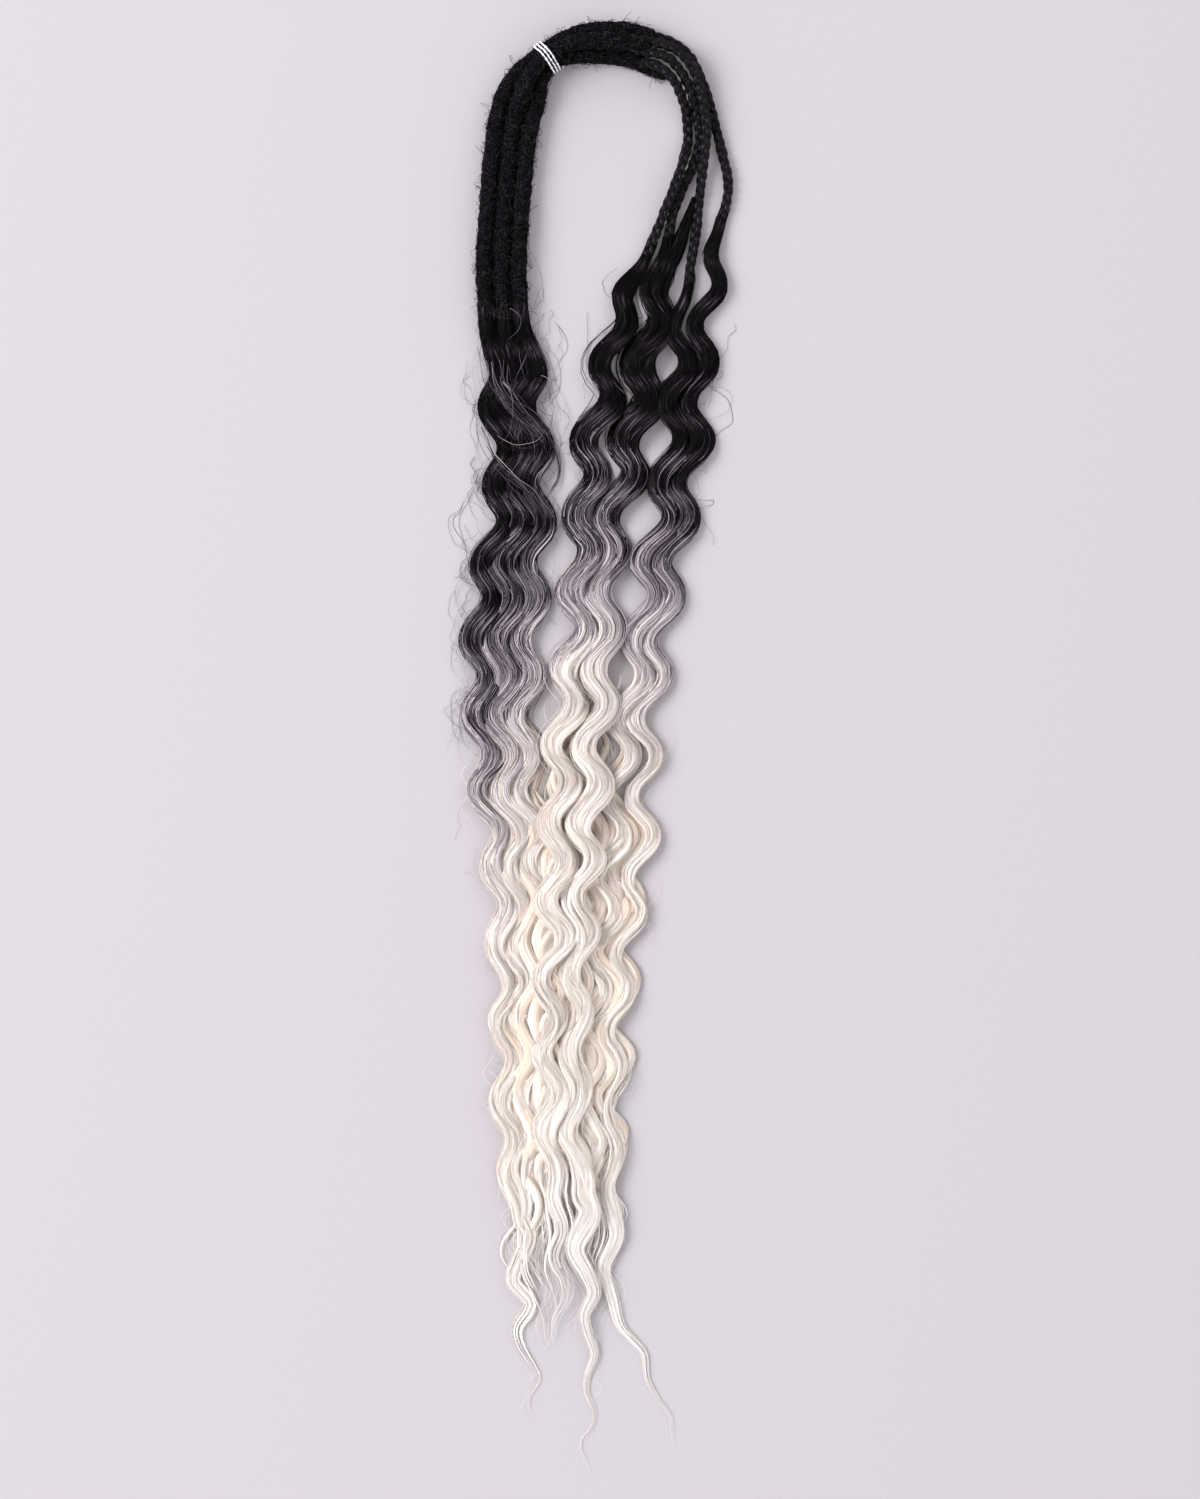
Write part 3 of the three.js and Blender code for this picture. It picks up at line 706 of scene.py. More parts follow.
class LockPath:
    """The middle line of a wavy lock, the way to its side, and how far its hair reaches there."""

    POINTS = 700

    def __init__(self, lock):
        self.lock = lock
        line = Line(lock["drift"])
        self.length = line.length
        self.shares = np.linspace(0, 1, self.POINTS)
        points = line.at(self.shares)
        lead = math.dist(lock["drift"][0], lock["drift"][1])
        self.lead = lead / line.length
        from_root = self.shares * line.length - lead
        spread = smooth(from_root, 0, ROOT_REACH)
        swing = lock["swing"] * smooth(from_root, 0, WAVE_REACH) * by_rows(SWELL, 1, points[:, 1])
        thinning = smooth(-points[:, 1], -TAPER_FROM, -lock["drift"][-1][1])
        flattening = smooth(-points[:, 1], -FLAT_FROM, -FLAT_TO)
        narrow, thin = 1 + (TIP_SHARE - 1) * thinning, 1 + (TIP_THICKNESS - 1) * flattening
        wide, high = lock["root"]
        left, right = (
            (wide / 2 + (by_rows(lock["reach"], column, points[:, 1]) - wide / 2) * spread) * narrow
            for column in (1, 2))
        high = (high + (LOCK_THICKNESS - high) * spread) * thin
        points[:, 2] = np.maximum(points[:, 2], 0) + high / 2
        side = directions(points)[1]
        self.columns = np.column_stack([points, side[:, :2], spread, swing, left, right, high])
        crowding = np.cumsum(1 + CREST_CROWDING * np.cos(2 * self.turn(points[:, 1], 0)) * spread)
        self.crowding = crowding / crowding[-1]

    def spaced(self, first, last, steps):
        """Shares of the length for each line from first to last, closer together where the wave turns."""
        start, stop = (np.interp(value, self.shares, self.crowding)[:, None] for value in (first, last))
        return np.interp(start + (stop - start) * np.linspace(0, 1, steps), self.crowding, self.shares)

    def at(self, shares):
        return (np.interp(shares, self.shares, column) for column in self.columns.T)

    def turn(self, level, late):
        """The angle of the wave at a height, nought at a bend to the left; late is in millimetres."""
        return TURN * (level - self.lock["crest"] - late) / self.lock["wave"]

    def roll(self, shares, late):
        """How far the hair leans over to face left, most where it runs down towards a bend to the left."""
        _, y, *_, swing, _, _, _ = self.at(shares)
        return ROLL * swing / self.lock["swing"] * np.sin(self.turn(y, late) + ROLL_LEAD)

    def painted_gleam(self, shares, late, fade):
        """Painted highlight and painted shade in place of gloss: makes dark hair lighter where it runs
        straight and darker where it bends.
        """
        _, y, *_ = self.at(shares)
        return PAINTED_GLEAM * (np.sin(self.turn(y, late)) ** 2 - 0.5) * (1 - smooth(fade, 0.12, 0.5))

    def place(self, shares, late, fuller, sideways, upward):
        """Points beside and above the middle line, where the wave comes late and swings fuller."""
        x, y, z, side_x, side_y, _, swing, left, right, high = self.at(shares)
        phase = self.turn(y, late)
        bend = (np.cos(phase) - CREST_ROUNDING * np.cos(3 * phase)) / (1 - CREST_ROUNDING)
        x = x - swing * fuller * bend
        reach = np.where(sideways < 0, left, right) * sideways
        height = z + high / 2 * upward + reach * np.sin(self.roll(shares, late))
        return np.stack([x + side_x * reach, y + side_y * reach, height], -1)


class Ribbons:
    """The body of a lock, first, and ribbons of hair side by side on it, which part and close along it."""

    WIDTHS = (0.7, 1.4)
    LEVELS = (-0.1, 0.1)
    ENDS = (0.86, 0.96)
    CROWN = 0.8
    LOWER_PART = (0.4, 0.7)

    def __init__(self, rng, lock, path):
        self.lock, self.path = lock, path
        count = lock["ribbons"]
        shares = rng.uniform(*self.WIDTHS, count)
        shares /= shares.sum()
        centre = 2 * (np.cumsum(shares) - shares / 2) - 1
        longest = rng.integers(count)
        level = BODY_LEVEL + RIBBON_LIFT * np.sqrt(1 - self.CROWN * centre**2)
        level = level + rng.uniform(*self.LEVELS, count)
        ending = np.where(np.arange(count) == longest, LONGEST_END, rng.uniform(*self.ENDS, count))
        self.count = count + 1
        self.centre = np.append(0, RIBBON_INSET * centre)
        self.wide = np.append(BODY_WIDTH, RIBBON_OVERLAP * shares)
        self.thick = np.append(BODY_THICKNESS, np.full(count, RIBBON_THICKNESS))
        self.level = np.append(BODY_LEVEL, level)
        self.ending = np.append(BODY_END, ending)
        self.freedom = np.append(BODY_FREEDOM, np.ones(count))
        self.together = [Wander(rng, cycles, 1) for cycles in (2.5, 2.0, 4.0)]
        self.straying, self.lifting, self.swelling, self.delaying, self.widening = (
            Wander(rng, cycles, self.count) for cycles in (4.0, 5.0, 5.0, 3.0, 4.0))

    def at(self, shares, which, late=0.0):
        """Middle line, half width, half thickness, roll, lateness and height in the lock of some ribbons."""
        *_, spread, _, left, right, high = self.path.at(shares)
        free = self.freedom[which][:, None]
        stray = self.lock["stray"] * free * self.straying.at(shares, which) * spread
        sideways = self.centre[which][:, None] + stray
        upward = (self.level[which][:, None] + 0.22 * free * self.lifting.at(shares, which)) * spread
        lower = smooth(shares, *self.LOWER_PART)
        only = np.zeros(len(which), int)
        bend, delay, swell = (wander.at(shares, only) * lower for wander in self.together)
        late = late + 2.2 * delay + free * (0.8 + 1.8 * lower) * self.delaying.at(shares, which)
        fuller = 1 + 0.2 * bend + 0.1 * free * self.widening.at(shares, which)
        middle = self.path.place(shares, late, fuller, sideways, upward)
        taper = 1 - 0.8 * smooth(shares / self.ending[which][:, None], 0.88, 1)
        wide = (left + right) / 2 * self.wide[which][:, None] * taper
        wide = wide * (1 + 0.25 * swell + 0.22 * free * self.swelling.at(shares, which) * spread)
        thick = np.minimum(self.thick[which][:, None] * high / 2, 0.8 * wide)
        roll = self.path.roll(shares, late)
        lowest = np.hypot(thick * np.cos(roll), wide * np.sin(roll)) + FLOOR_GAP
        middle[..., 2] = np.maximum(middle[..., 2], lowest)
        return middle, wide, thick, roll, late, upward


def add_fibres(shell, rng, lines, fade, painted_shade, column, radius=FIBRE_RADIUS):
    """Loose fibres along lines of points, each thinner at its end and where it is pale."""
    count, steps = lines.shape[:2]
    narrowing = 1 - 0.65 * smooth(np.linspace(0, 1, steps), 0.8, 1)
    radii = radius * rng.uniform(0.75, 1.25, (count, 1)) * narrowing
    radii = radii * (1 - 0.42 * smooth(np.asarray(fade), 0.55, 0.9))
    lines[..., 2] = np.maximum(lines[..., 2], radii + FLOOR_GAP)
    tint = rng.random((count, 1))
    shell.tubes(lines, 1.15 * radii, 0.85 * radii, 3, fade, painted_shade, tint, column, 90 * rng.random(count))


def lay_ribbons(shell, rng, lock, path, ribbons, shift):
    """The body and the ribbons of a lock, with painted shade at their sides and undersides and on the lower
    ribbons.
    """
    steps = int(path.length / RIBBON_STEP)
    shares = path.spaced(np.full(ribbons.count, 0.6 * path.lead), ribbons.ending, steps)
    middle, wide, thick, roll, late, upward = ribbons.at(shares, np.arange(ribbons.count))
    fade = lightness(lock, middle[..., 1] - shift[:, None])
    # Painted highlight on straight runs of dark hair, painted shade at its bends
    fade = fade + path.painted_gleam(shares, late, fade)
    facing_up = np.sin(corners(RIBBON_SIDES, BOTTOM))
    # Painted shade: darker, and honey in the cream, at the sides and undersides and on the lower ribbons
    painted_shade = np.clip(0.6 - 0.35 * upward[..., None] - 0.6 * facing_up, 0, 1)
    strand = 70 * rng.random(ribbons.count)
    shell.tubes(middle, wide, thick, RIBBON_SIDES, fade, painted_shade, MIDDLE_TINT, (0, 0.5), strand, roll)


def lay_fibres(shell, rng, lock, path, ribbons, shift):
    """Single fibres along the ribbons of a lock, some of them paler than the hair around."""
    count, steps = lock["fibres"], int(path.length / FIBRE_STEP)
    which = rng.choice(ribbons.count, count, p=ribbons.wide / ribbons.wide.sum())
    first = path.lead * rng.uniform(0.05, 1.0, count)
    last = ribbons.ending[which] * rng.uniform(0.86, 1.03, count)
    shares = path.spaced(first, last, steps)
    late = rng.normal(0, 0.35, (count, 1)) + 0.4 * Wander(rng, 3.0, count).at(shares)
    middle, wide, thick, roll, late, upward = ribbons.at(shares, which, late)
    turn = math.pi * rng.uniform(-0.08, 1.08, (count, 1)) + 0.4 * Wander(rng, 4.0, count).at(shares)
    away = 1.04 + 0.06 * rng.random((count, 1))
    away = away + lock["rough"] * np.maximum(Wander(rng, 4.0, count).at(shares), 0)
    unruly = np.where(rng.random((count, 1)) < 0.07, 0.7, 0)
    away = away + unruly * np.maximum(Wander(rng, 3.0, count).at(shares), 0)
    _, beside, above = directions(middle, roll)
    lines = (middle + beside * (wide * away * np.cos(turn))[..., None]
             + above * (thick * away * np.sin(turn))[..., None])
    shift = shift[which] + rng.normal(0, 15, count)
    fade = lightness(lock, lines[..., 1] - shift[:, None])
    paler = np.where(rng.random((count, 1)) < 0.4, rng.uniform(0.05, 0.24, (count, 1)), 0)
    change = (paler * smooth(shares, 0.07, 0.2) - 0.02) * (1 - smooth(fade, 0.6, 0.9))
    # Paler fibres, plus painted highlight on straight runs of dark hair and painted shade at its bends
    fade = fade + change + path.painted_gleam(shares, late, fade)
    # Painted shade on fibres that lie low or underneath, less on paler fibres
    painted_shade = np.clip(0.3 - 0.4 * upward - 0.25 * np.sin(turn), 0, 1) * (1 - 4 * paler).clip(0, 1)
    add_fibres(shell, rng, lines, fade, painted_shade, (0.5, 0.8))


def add_wisps(shell, rng, lock, path):
    """Fine fibres that spread around the lower end of a lock."""
    count, steps = WISPS, int(0.34 * path.length / FIBRE_STEP)
    shares = path.spaced(rng.uniform(0.58, 0.72, count), rng.uniform(0.86, 1.0, count), steps)
    late = rng.normal(0, 1.2, (count, 1)) + Wander(rng, 3.0, count).at(shares)
    sideways = rng.uniform(-1.15, 1.15, (count, 1)) + 0.3 * Wander(rng, 5.0, count).at(shares)
    upward = rng.uniform(-0.8, 0.8, (count, 1)) + 0.3 * Wander(rng, 5.0, count).at(shares)
    lines = path.place(shares, late, 1.0, sideways, upward)
    fade = lightness(lock, lines[..., 1] - rng.normal(0, 8, (count, 1)))
    # Painted shade on the lower wisps
    add_fibres(shell, rng, lines, fade, np.clip(0.3 - 0.4 * upward, 0, 1), (0.8, 0.9), WISP_RADIUS)


def add_slip(shell, rng):
    """The strand of black hair that slips out beside the third braid."""
    steps, count = 26, SLIP_FIBRES
    shares = np.linspace(0, 1, steps)
    points = Line([(x, y, BRAID_THICKNESS / 2) for x, y, _ in SLIP]).at(shares)
    half = np.interp(shares, np.linspace(0, 1, len(SLIP)), [width / 2 for _, _, width in SLIP])
    # The slipped strand's core gets painted shade all over
    shell.tubes(points[None], 0.8 * half, 1.1, 8, BLACK, 1.0, 0.4, (0.9, 0.92))
    side = -directions(points)[1]
    across = rng.uniform(-1, 1, (count, 1)) + 0.1 * Wander(rng, 2.0, count).at(shares)
    upward = rng.uniform(-1, 1, (count, 1)) * np.sqrt(np.clip(1 - across**2, 0.05, 1)) * BRAID_THICKNESS / 2
    lines = points + side * (half * across)[..., None] + UP * upward[..., None]
    # Lower fibres of the slipped strand get painted shade
    add_fibres(shell, rng, lines, BLACK, np.clip(0.4 - 0.3 * upward, 0, 1), (0.92, 1.0))


def build_lock(name, lock):
    """A wavy lock of ribbons with single fibres on them and wisps around its lower end."""
    rng = dice(name)
    path = LockPath(lock)
    ribbons = Ribbons(rng, lock, path)
    shell = Shell()
    shift = rng.normal(0, 8, ribbons.count) - lock["lean"] * ribbons.centre - lock["behind"]
    lay_ribbons(shell, rng, lock, path, ribbons, shift)
    lay_fibres(shell, rng, lock, path, ribbons, shift)
    add_wisps(shell, rng, lock, path)
    if name == "lock_braid_second":
        add_slip(shell, rng)
    shell.build(name + "_hair", HAIR, name, "fading_hair")


for lock_name, lock_values in LOCKS.items():
    build_lock(lock_name, lock_values)


# Braids

def build_braid(name, rows):
    """Three strands that cross by turns, each a core with fibres laid along it."""
    rng = dice(name)
    line = Line([(x, y, rise + BRAID_THICKNESS / 2) for x, y, rise in rows])
    steps, count = int(line.length / BRAID_TURN * BRAID_STEPS), BRAID_FIBRES
    shares = np.linspace(0, 1, steps)
    middle = line.at(shares)
    _, side, over = directions(middle)
    shell = Shell()
    for strand in range(3):
        angle = TURN * (line.length * shares / BRAID_TURN + strand / 3)
        sideways = (BRAID_WIDTH / 2 - STRAND_RADIUS) * np.sin(angle)
        upward = (BRAID_THICKNESS / 2 - STRAND_RADIUS * 0.8) * np.sin(2 * angle)
        points = middle + side * sideways[:, None] + over * upward[:, None]
        size = STRAND_RADIUS * (1 + 0.06 * Wander(rng, 9.0, 1).at(shares)[0])
        left, right = strand / 3, (strand + 1) / 3
        core_end = left + 0.05
        # The core gets painted shade
        shell.tubes(points[None], 0.88 * size, 0.76 * size, 8, 0.0, 0.6, 0.4, (left, core_end))
        turn = TURN * rng.random((count, 1)) + 0.5 * Wander(rng, 6.0, count).at(shares)
        reach = rng.uniform(0.78, 1.0, (count, 1)) + 0.05 * Wander(rng, 9.0, count).at(shares)
        _, beside, above = directions(points)
        lines = (points + beside * (size * reach * np.cos(turn))[..., None]
                 + above * (0.86 * size * reach * np.sin(turn))[..., None])
        # Fibres on a strand's underside get painted shade
        add_fibres(shell, rng, lines, 0.0, np.clip(0.2 - 0.5 * np.sin(turn), 0, 1), (core_end, right))
    shell.build(name + "_plait", PLAITED, name, "braided_hair")


for braid_name, braid_rows in BRAIDS.items():
    build_braid(braid_name, braid_rows)


# Dreads

def dread_radius(points):
    reach = np.hypot(points[..., 0] - TIE[0], points[..., 1] - TIE[1]) / WAIST_REACH
    return DREAD_RADIUS + (DREAD_WAIST - DREAD_RADIUS) * np.exp(-reach * reach)


def rounded(distance, reach):
    """Rises from nearly 0 at an end to 1 at some reach from it, as a round end does."""
    share = np.clip(distance / reach, 0.02, 1)
    return np.sqrt(share * (2 - share))


def lump(point):
    return sum(noise.noise(Vector(point) * rate) * height for rate, height in LUMPS)


class Dread:
    """A lumpy felted tube with drawn-in ends, tight curls felted on it and loose hairs that stand off it."""

    def __init__(self, name, rows):
        self.rng = dice(name)
        line = Line([(x, y, rise + DREAD_RADIUS) for x, y, rise in rows])
        self.steps = int(line.length / DREAD_STEP)
        shares = np.linspace(0, 1, self.steps)
        middle = line.at(shares)
        self.along, self.side, over = directions(middle)
        low, far = shares * line.length, (1 - shares) * line.length
        radius = dread_radius(middle) * (0.66 + 0.34 * smooth(low, 0, 16))
        radius *= 0.72 + 0.28 * smooth(far, 0, 14)
        radius *= rounded(np.minimum(low, far), 2.5)
        angles = corners(DREAD_SIDES, TOP)[:, None]
        self.outward = self.side[:, None] * np.cos(angles) + over[:, None] * np.sin(angles)
        ring = middle[:, None] + self.outward * radius[:, None, None]
        lumps = np.array([[lump(point) for point in row] for row in ring])
        lumps = lumps * rounded(np.minimum(low, far), 4)[:, None] - 0.15
        self.ring = ring + self.outward * lumps[..., None]
        self.ring[..., 2] = np.maximum(self.ring[..., 2], FLOOR_GAP)
        self.shell = Shell()
        self.shell.rings(self.ring[None], 0.0, 0.0, MIDDLE_TINT, (0.0, 0.4), 0.0)

    def hairs(self, lines, thick, column):
        lines[..., 2] = np.maximum(lines[..., 2], thick + FLOOR_GAP)
        paleness = self.rng.random((len(lines), 1)) ** 3.0
        self.shell.hairs(lines, thick, paleness, column, MIDDLE_TINT)

    def curls(self, count, bits, reach, turning, lift, thick, column):
        """Curled hairs all over the dread: reach, turning and lift each give the least and the most."""
        rng = self.rng
        row, corner = rng.integers(2, self.steps - 2, count), rng.integers(0, DREAD_SIDES, count)
        away, down = self.outward[row, corner], self.along[row]
        around = np.cross(away, down)
        part = np.linspace(0, 1, bits)
        heading = TURN * rng.random((count, 1))
        heading = heading + rng.uniform(*turning, (count, 1)) * rng.choice([-1, 1], (count, 1)) * part
        length = rng.uniform(*reach, (count, 1)) / bits
        forward, sideways = (np.cumsum(wave(heading) * length, 1) for wave in (np.cos, np.sin))
        height = lift[0] + rng.gamma(1.3, lift[1], (count, 1)) * np.sin(math.pi * part)
        height = height - sideways**2 / (2 * DREAD_RADIUS)
        lines = (self.ring[row, corner][:, None] + down[:, None] * forward[..., None]
                 + around[:, None] * sideways[..., None] + away[:, None] * height[..., None])
        self.hairs(lines, thick, column)

    def stragglers(self, count, bits, reach, thick, column):
        """Hairs that run down from the lower end of the dread onto its lock."""
        rng = self.rng
        row, corner = rng.integers(1, 12, count), rng.integers(0, DREAD_SIDES, count)
        part = np.linspace(0, 1, bits)
        length = rng.uniform(*reach, (count, 1)) * part
        sway = 0.12 * length * Wander(rng, 1.0, count).at(part)
        lines = (self.ring[row, corner][:, None] - self.along[row][:, None] * length[..., None]
                 + self.side[row][:, None] * sway[..., None])
        lines[..., 2] = lines[..., 2] * (1 - 0.26 * smooth(length, 0, ROOT_REACH)) + 0.2
        self.hairs(lines, thick, column)


def build_dread(name, rows):
    dread = Dread(name, rows)
    dread.curls(1050, 5, (2.0, 5.5), (1.0, 4.5), (0.02, 0.3), 0.12, (0.4, 0.8))
    dread.curls(270, 8, (4.0, 10.0), (1.0, 5.0), (0.1, 1.1), 0.09, (0.8, 0.95))
    dread.stragglers(90, 9, (6.0, 24.0), 0.1, (0.95, 1.0))
    dread.shell.build(name + "_felt", FELT, name, "felted_hair")


for dread_name, dread_rows in DREADS.items():
    build_dread(dread_name, dread_rows)


# Thread

def thread_loop():
    """One turn of the thread around the two lower dreads and the one on them: columns across, upward."""
    hug = DREAD_WAIST + THREAD_HUG
    low = DREAD_WAIST + THREAD_CLEARANCE + 2 * THREAD_RADIUS
    lean = math.atan2(TIE_STACK, TIE_APART)
    arcs = [(-TIE_APART, low, math.pi / 2 + lean, 1.5 * math.pi),
            (TIE_APART, low, 1.5 * math.pi, 2.5 * math.pi - lean),
            (0, low + TIE_STACK, math.pi / 2 - lean, math.pi / 2 + lean)]
    loop = []
    for across, upward, start, stop in arcs:
        for angle in np.linspace(start, stop, ARC_STEPS):
            loop.append((across + hug * math.cos(angle), upward + hug * math.sin(angle)))
    return np.array(loop + loop[:1])


def build_thread():
    """Three turns of a doubled yarn."""
    rng = dice("tie_thread")
    loop = thread_loop()
    far = np.concatenate([[0], np.cumsum(np.linalg.norm(np.diff(loop, axis=0), axis=1))])
    shares = np.linspace(0, 1, THREAD_STEPS)
    place = ((shares * THREAD_TURNS + 0.5) % 1.0) * far[-1]
    across, upward = (np.interp(place, far, column) for column in loop.T)
    heading = np.array([*TIE_HEADING, 0]) / math.hypot(*TIE_HEADING)
    side = np.cross(UP, heading)
    step = (shares - 0.5) * THREAD_TURNS * THREAD_PITCH
    middle = (np.array([*TIE, 0]) + heading * step[:, None] - side * across[:, None]
              + UP * upward[:, None])
    along = unit(np.gradient(middle, axis=0))
    out = unit(np.cross(along, heading))
    shell = Shell()
    for ply in range(2):
        turn = (TURN * (shares * PLY_TWISTS + ply / 2))[:, None]
        wobble = (0.2 * Wander(rng, 7.0, 1).at(shares)[0])[:, None]
        points = middle + heading * wobble + PLY_APART * (np.cos(turn) * out + np.sin(turn) * heading)
        points[:, 2] = np.maximum(points[:, 2], THREAD_FLOOR)
        # Painted shade, darker the lower the thread lies
        shade = np.clip(0.5 - 0.09 * (points[None, :, 2] - 4), 0, 0.6)
        column = (ply / 2, ply / 2 + 0.5)
        shell.tubes(points[None], PLY_RADIUS, PLY_RADIUS, 6, 0.0, shade, MIDDLE_TINT, column)
    shell.build("tie_thread_wound", THREAD, "tie_thread", "tie_thread")


build_thread()


# Loose strands under the faded locks, spread over the whole width of the hank

def loose_lines(rng, part, count, bottoms):
    """Places across and along the hank, lightness and painted shade of wavy loose strands."""
    top, bottom = rng.uniform(-50, 35, (count, 1)), rng.uniform(*bottoms, (count, 1))
    level = top + (bottom - top) * part
    place = (rng.permutation(count)[:, None] + 0.5) / count + 0.04 * Wander(rng, 2.0, count).at(part)
    left, right = (by_rows(LOOSE, edge, level) for edge in (1, 2))
    turn = (level - DREAD_LOCK["crest"]) / WAVE_LENGTH + rng.normal(0, 0.06, (count, 1))
    turn = turn + 0.05 * Wander(rng, 3.0, count).at(part)
    across = left + (right - left) * place - rng.uniform(3, 5.5, (count, 1)) * np.cos(TURN * turn)
    lower = level - 10 - rng.normal(0, 8, (count, 1))
    grey, cream = (lightness(lock, lower) for lock in (DREAD_LOCK, BRAID_LOCK))
    fade = grey + (cream - grey) * smooth(across, -32, -20)
    # Each loose strand gets painted shade of a random strength
    return across, level, fade, rng.uniform(0.2, 0.9, (count, 1))


def loose_ribbons(shell, rng, count=32, steps=90):
    part = np.linspace(0, 1, steps)
    across, level, fade, painted_shade = loose_lines(rng, part, count, (-255, -195))
    ends = smooth(part, -0.02, 0.2) * (1 - smooth(part, 0.7, 1.02))
    wide = rng.uniform(2.0, 4.2, (count, 1)) * ends
    pile = 3 + 3.5 * smooth(across, -38, -28) * (1 - smooth(across, -6, 4))
    height = 0.9 + pile * rng.random((count, 1)) * np.sin(math.pi * part)
    lines = np.stack([across, level, height], -1)
    strand = 70 * rng.random(count)
    # Loose ribbons are dulled and warmed as painted shade
    shell.tubes(lines, wide, 0.65 * ends, 6, fade, painted_shade, LOOSE_PAINTED_SHADE, (0, 0.4), strand)


def loose_fibres(shell, rng, count=90, steps=60):
    part = np.linspace(0, 1, steps)
    across, level, fade, painted_shade = loose_lines(rng, part, count, (-285, -215))
    height = rng.uniform(1.2, 3.6, (count, 1)) + 0.3 * Wander(rng, 4.0, count).at(part)
    add_fibres(shell, rng, np.stack([across, level, height], -1), fade, painted_shade, (0.4, 1))


def build_loose():
    rng = dice("loose strands")
    shell = Shell()
    loose_ribbons(shell, rng)
    loose_fibres(shell, rng)
    shell.build("loose_strands", HAIR, None, "fading_hair")


build_loose()


# Fine hairs that stand off the locks or lie across them

def standing_hairs(rng, name, edge, top, bottom, count, reach):
    """Lines and lightness of hairs that stand off one side of a lock in arcs."""
    lock = LOCKS[name]
    path = LockPath(lock)
    part = np.linspace(0, 1, HAIR_STEPS)
    border = path.place(path.shares, 0.0, 1.0, np.full(len(path.shares), 0.7 * edge), 0.0)[::-1]
    y = rng.uniform(bottom, top, (count, 1))
    x = np.interp(y, border[:, 1], border[:, 0])
    peak = 0.85 * reach * rng.uniform(0.25, 1.0, (count, 1))
    swings = [Wander(rng, 1.1, count).at(part) for _ in range(2)]
    curl, drift = (0.16 * peak * (swing - swing[:, :1]) for swing in swings)
    arc = np.sin(math.pi * rng.uniform(0.45, 1.2, (count, 1)) * part)
    away = np.minimum(peak * arc + curl, reach)
    slope = rng.choice([-1, 1], (count, 1)) * rng.gamma(3.0, 0.8, (count, 1))
    y = y + slope * peak * part + drift
    z = np.maximum(0.12, 3.0 - 0.45 * np.abs(away)) + 0.6 * rng.random((count, 1))
    radius = rng.uniform(0.045, 0.08, (count, 1))
    shade = np.maximum(lightness(lock, y), rng.uniform(0.16, 0.46, (count, 1)))
    return np.stack([x + edge * away, y, z], -1), radius, shade


def surface_hairs(rng, count):
    """Lines and lightness of single hairs that lie on the dreads' locks."""
    part = np.linspace(0, 1, HAIR_STEPS)
    x, y = rng.uniform(-52, -28, (count, 1)), rng.uniform(128, 192, (count, 1))
    heading = -math.pi / 2 - 0.035 * (x + 40) + rng.normal(0, 0.2, (count, 1))
    heading = heading + rng.normal(0, 0.8, (count, 1)) * (part - 0.5)
    heading = heading + 0.2 * Wander(rng, 0.8, count).at(part)
    length = rng.uniform(22, 60, (count, 1)) / HAIR_STEPS
    x, y = x + np.cumsum(length * np.cos(heading), 1), y + np.cumsum(length * np.sin(heading), 1)
    z = 5.4 + rng.uniform(0, 1.6, (count, 1)) - 2.5 * (2 * part - 1) ** 4
    radius, shade = rng.uniform(0.04, 0.07, (count, 1)), rng.uniform(0.2, 0.42, (count, 1))
    return np.stack([x, y, z], -1), radius, shade


def add_sweep(shell, rng, strands, spread, darkest, lightest, rows):
    """Strands that sweep across the locks along one line."""
    start, stop = rng.uniform(0, 0.4, (strands, 1)), rng.uniform(0.7, 1, (strands, 1))
    shares = start + (stop - start) * np.linspace(0, 1, 2 * HAIR_STEPS)
    line = Line(rows).at(shares)
    offset = rng.normal(0, 1, (strands, 1)) + 0.35 * Wander(rng, 1.5, strands).at(shares)
    lines = line + directions(line)[1] * (spread * offset)[..., None]
    lines[..., 2] += rng.uniform(0, 0.5, (strands, 1))
    shade = rng.uniform(darkest, lightest, (strands, 1))
    radius = SWEEP_RADIUS if strands > FEW_STRANDS else FINE_SWEEP_RADIUS
    add_fibres(shell, rng, lines, shade, 0.0, (SINGLE_HAIRS, 1.0), radius)


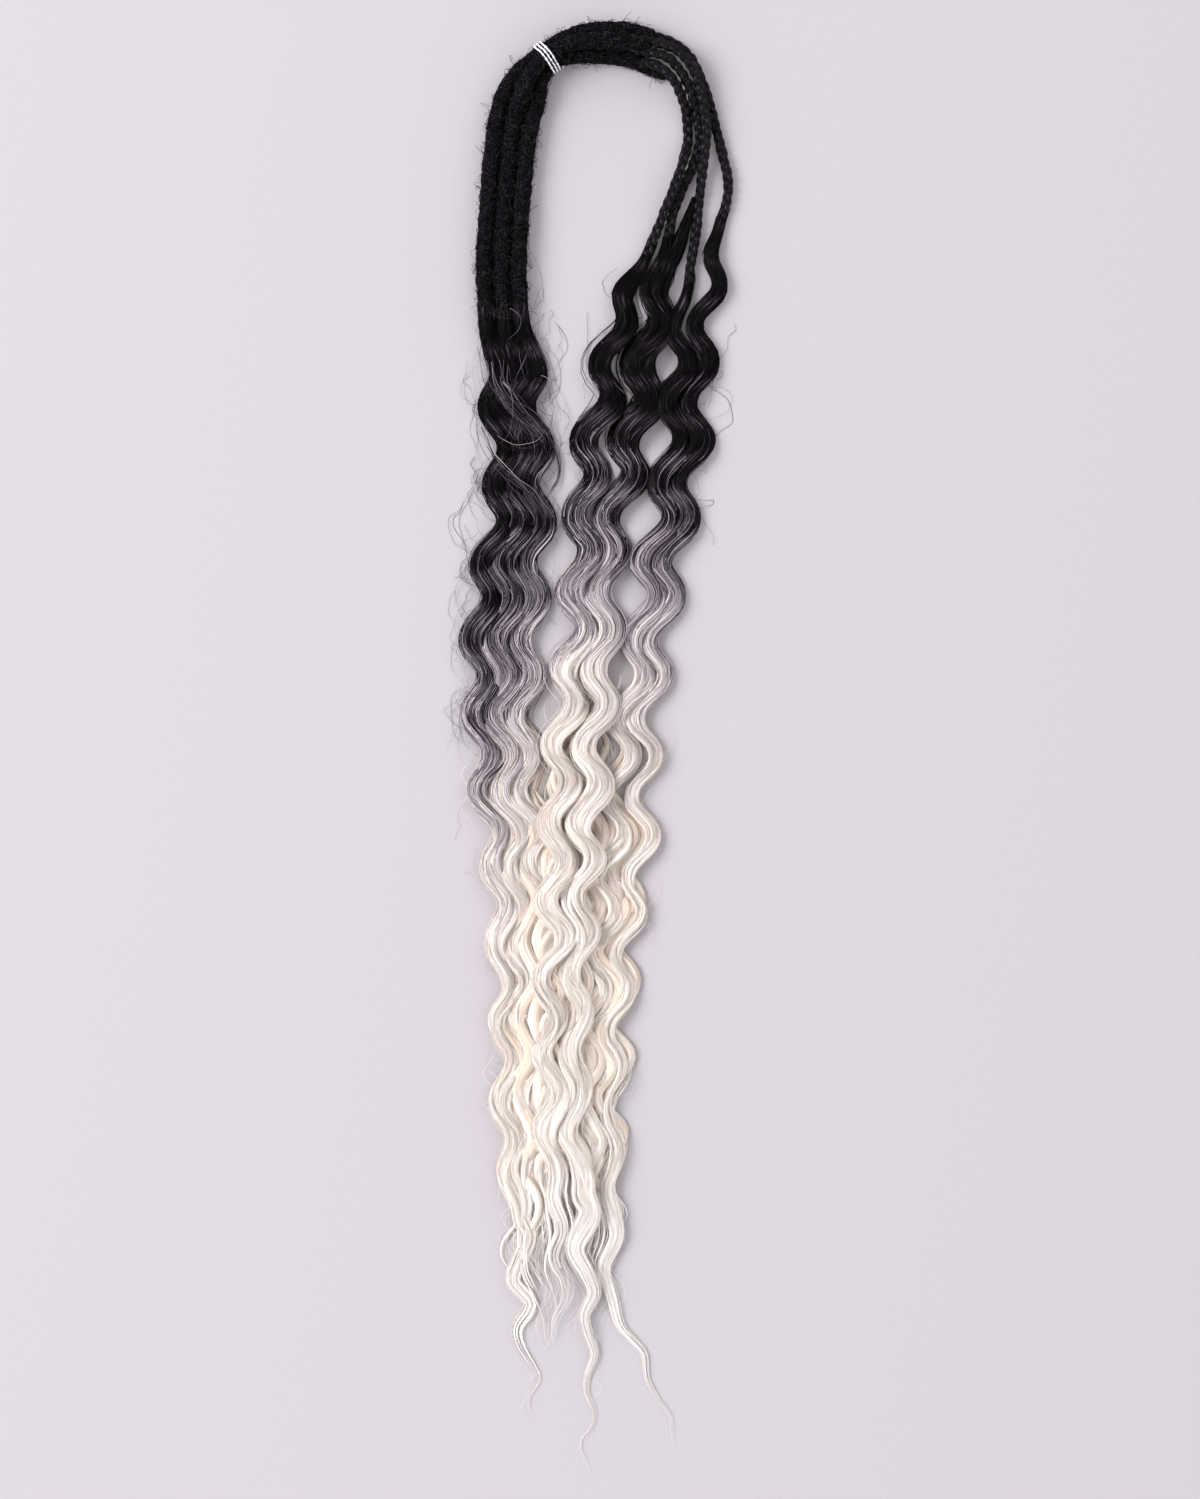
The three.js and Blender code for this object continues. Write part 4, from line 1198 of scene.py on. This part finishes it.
def build_frizz():
    rng = dice("frizz")
    shell = Shell()
    total = (sum(row[4] for row in FRIZZ) + SURFACE_HAIRS) / SINGLE_HAIRS
    done = 0
    for row in FRIZZ:
        lines, radius, shade = standing_hairs(rng, *row)
        shell.hairs(lines, radius, shade, (done / total, (done + len(lines)) / total), FINE_TINT)
        done += len(lines)
    lines, radius, shade = surface_hairs(rng, SURFACE_HAIRS)
    shell.hairs(lines, radius, shade, (done / total, SINGLE_HAIRS), FINE_TINT)
    for row in SWEEPS:
        add_sweep(shell, rng, *row)
    shell.build("frizz", HAIR, None, "fading_hair")


build_frizz()


# Floor, light and camera, in metres

def add_object(name, data):
    added = bpy.data.objects.new(name, data)
    bpy.context.scene.collection.objects.link(added)
    return added


def build_key_light():
    """A wide soft light from the left."""
    place = (-4.0, 0.8, 3.0)
    light = bpy.data.lights.new("key", "AREA")
    light.shape = "DISK"
    light.size = 3.0
    light.energy = 270
    light.color = (1.0, 0.99, 0.985)
    lamp = add_object("key", light)
    lamp.location = place
    lamp.rotation_euler = (-Vector(place)).to_track_quat("-Z", "Y").to_euler()


def build_floor():
    half = 3.0
    around = [(-half, -half, 0), (half, -half, 0), (half, half, 0), (-half, half, 0)]
    mesh = bpy.data.meshes.new("floor")
    mesh.from_pydata(around, [], [(0, 1, 2, 3)])
    floor = add_object("floor", mesh)
    material, tree, shader = new_material("pale sheet")
    tree.links.new(ramp(tree, FLOOR_TONES, speckle(tree, 900, 2)), shader.inputs["Base Color"])
    shader.inputs["Roughness"].default_value = 0.95
    shader.inputs["Specular IOR Level"].default_value = 0.1
    mesh.materials.append(material)


def build_sky():
    """Soft light from all round, brightest from low down."""
    world = bpy.data.worlds.new("soft sky")
    world.use_nodes = True
    tree = world.node_tree
    background = tree.nodes["Background"]
    height = tree.nodes.new("ShaderNodeSeparateXYZ")
    tree.links.new(tree.nodes.new("ShaderNodeTexCoord").outputs["Generated"], height.inputs["Vector"])
    tree.links.new(ramp(tree, SKY_TONES, height.outputs["Z"]), background.inputs["Color"])
    background.inputs["Strength"].default_value = 1.62
    bpy.context.scene.world = world


def build_camera():
    """Straight above the hank, with the height of the photograph in view."""
    height = 1.7
    sensor = 36
    camera = bpy.data.cameras.new("camera")
    camera.sensor_width = sensor
    camera.lens = sensor * height / (PHOTO_ROWS * PIXEL * MM)
    view = add_object("camera", camera)
    view.location = (VIEW_MIDDLE[0] * MM, VIEW_MIDDLE[1] * MM, height)
    bpy.context.scene.camera = view


build_floor()
build_sky()
build_key_light()
build_camera()
bpy.context.scene.view_settings.view_transform = "Standard"
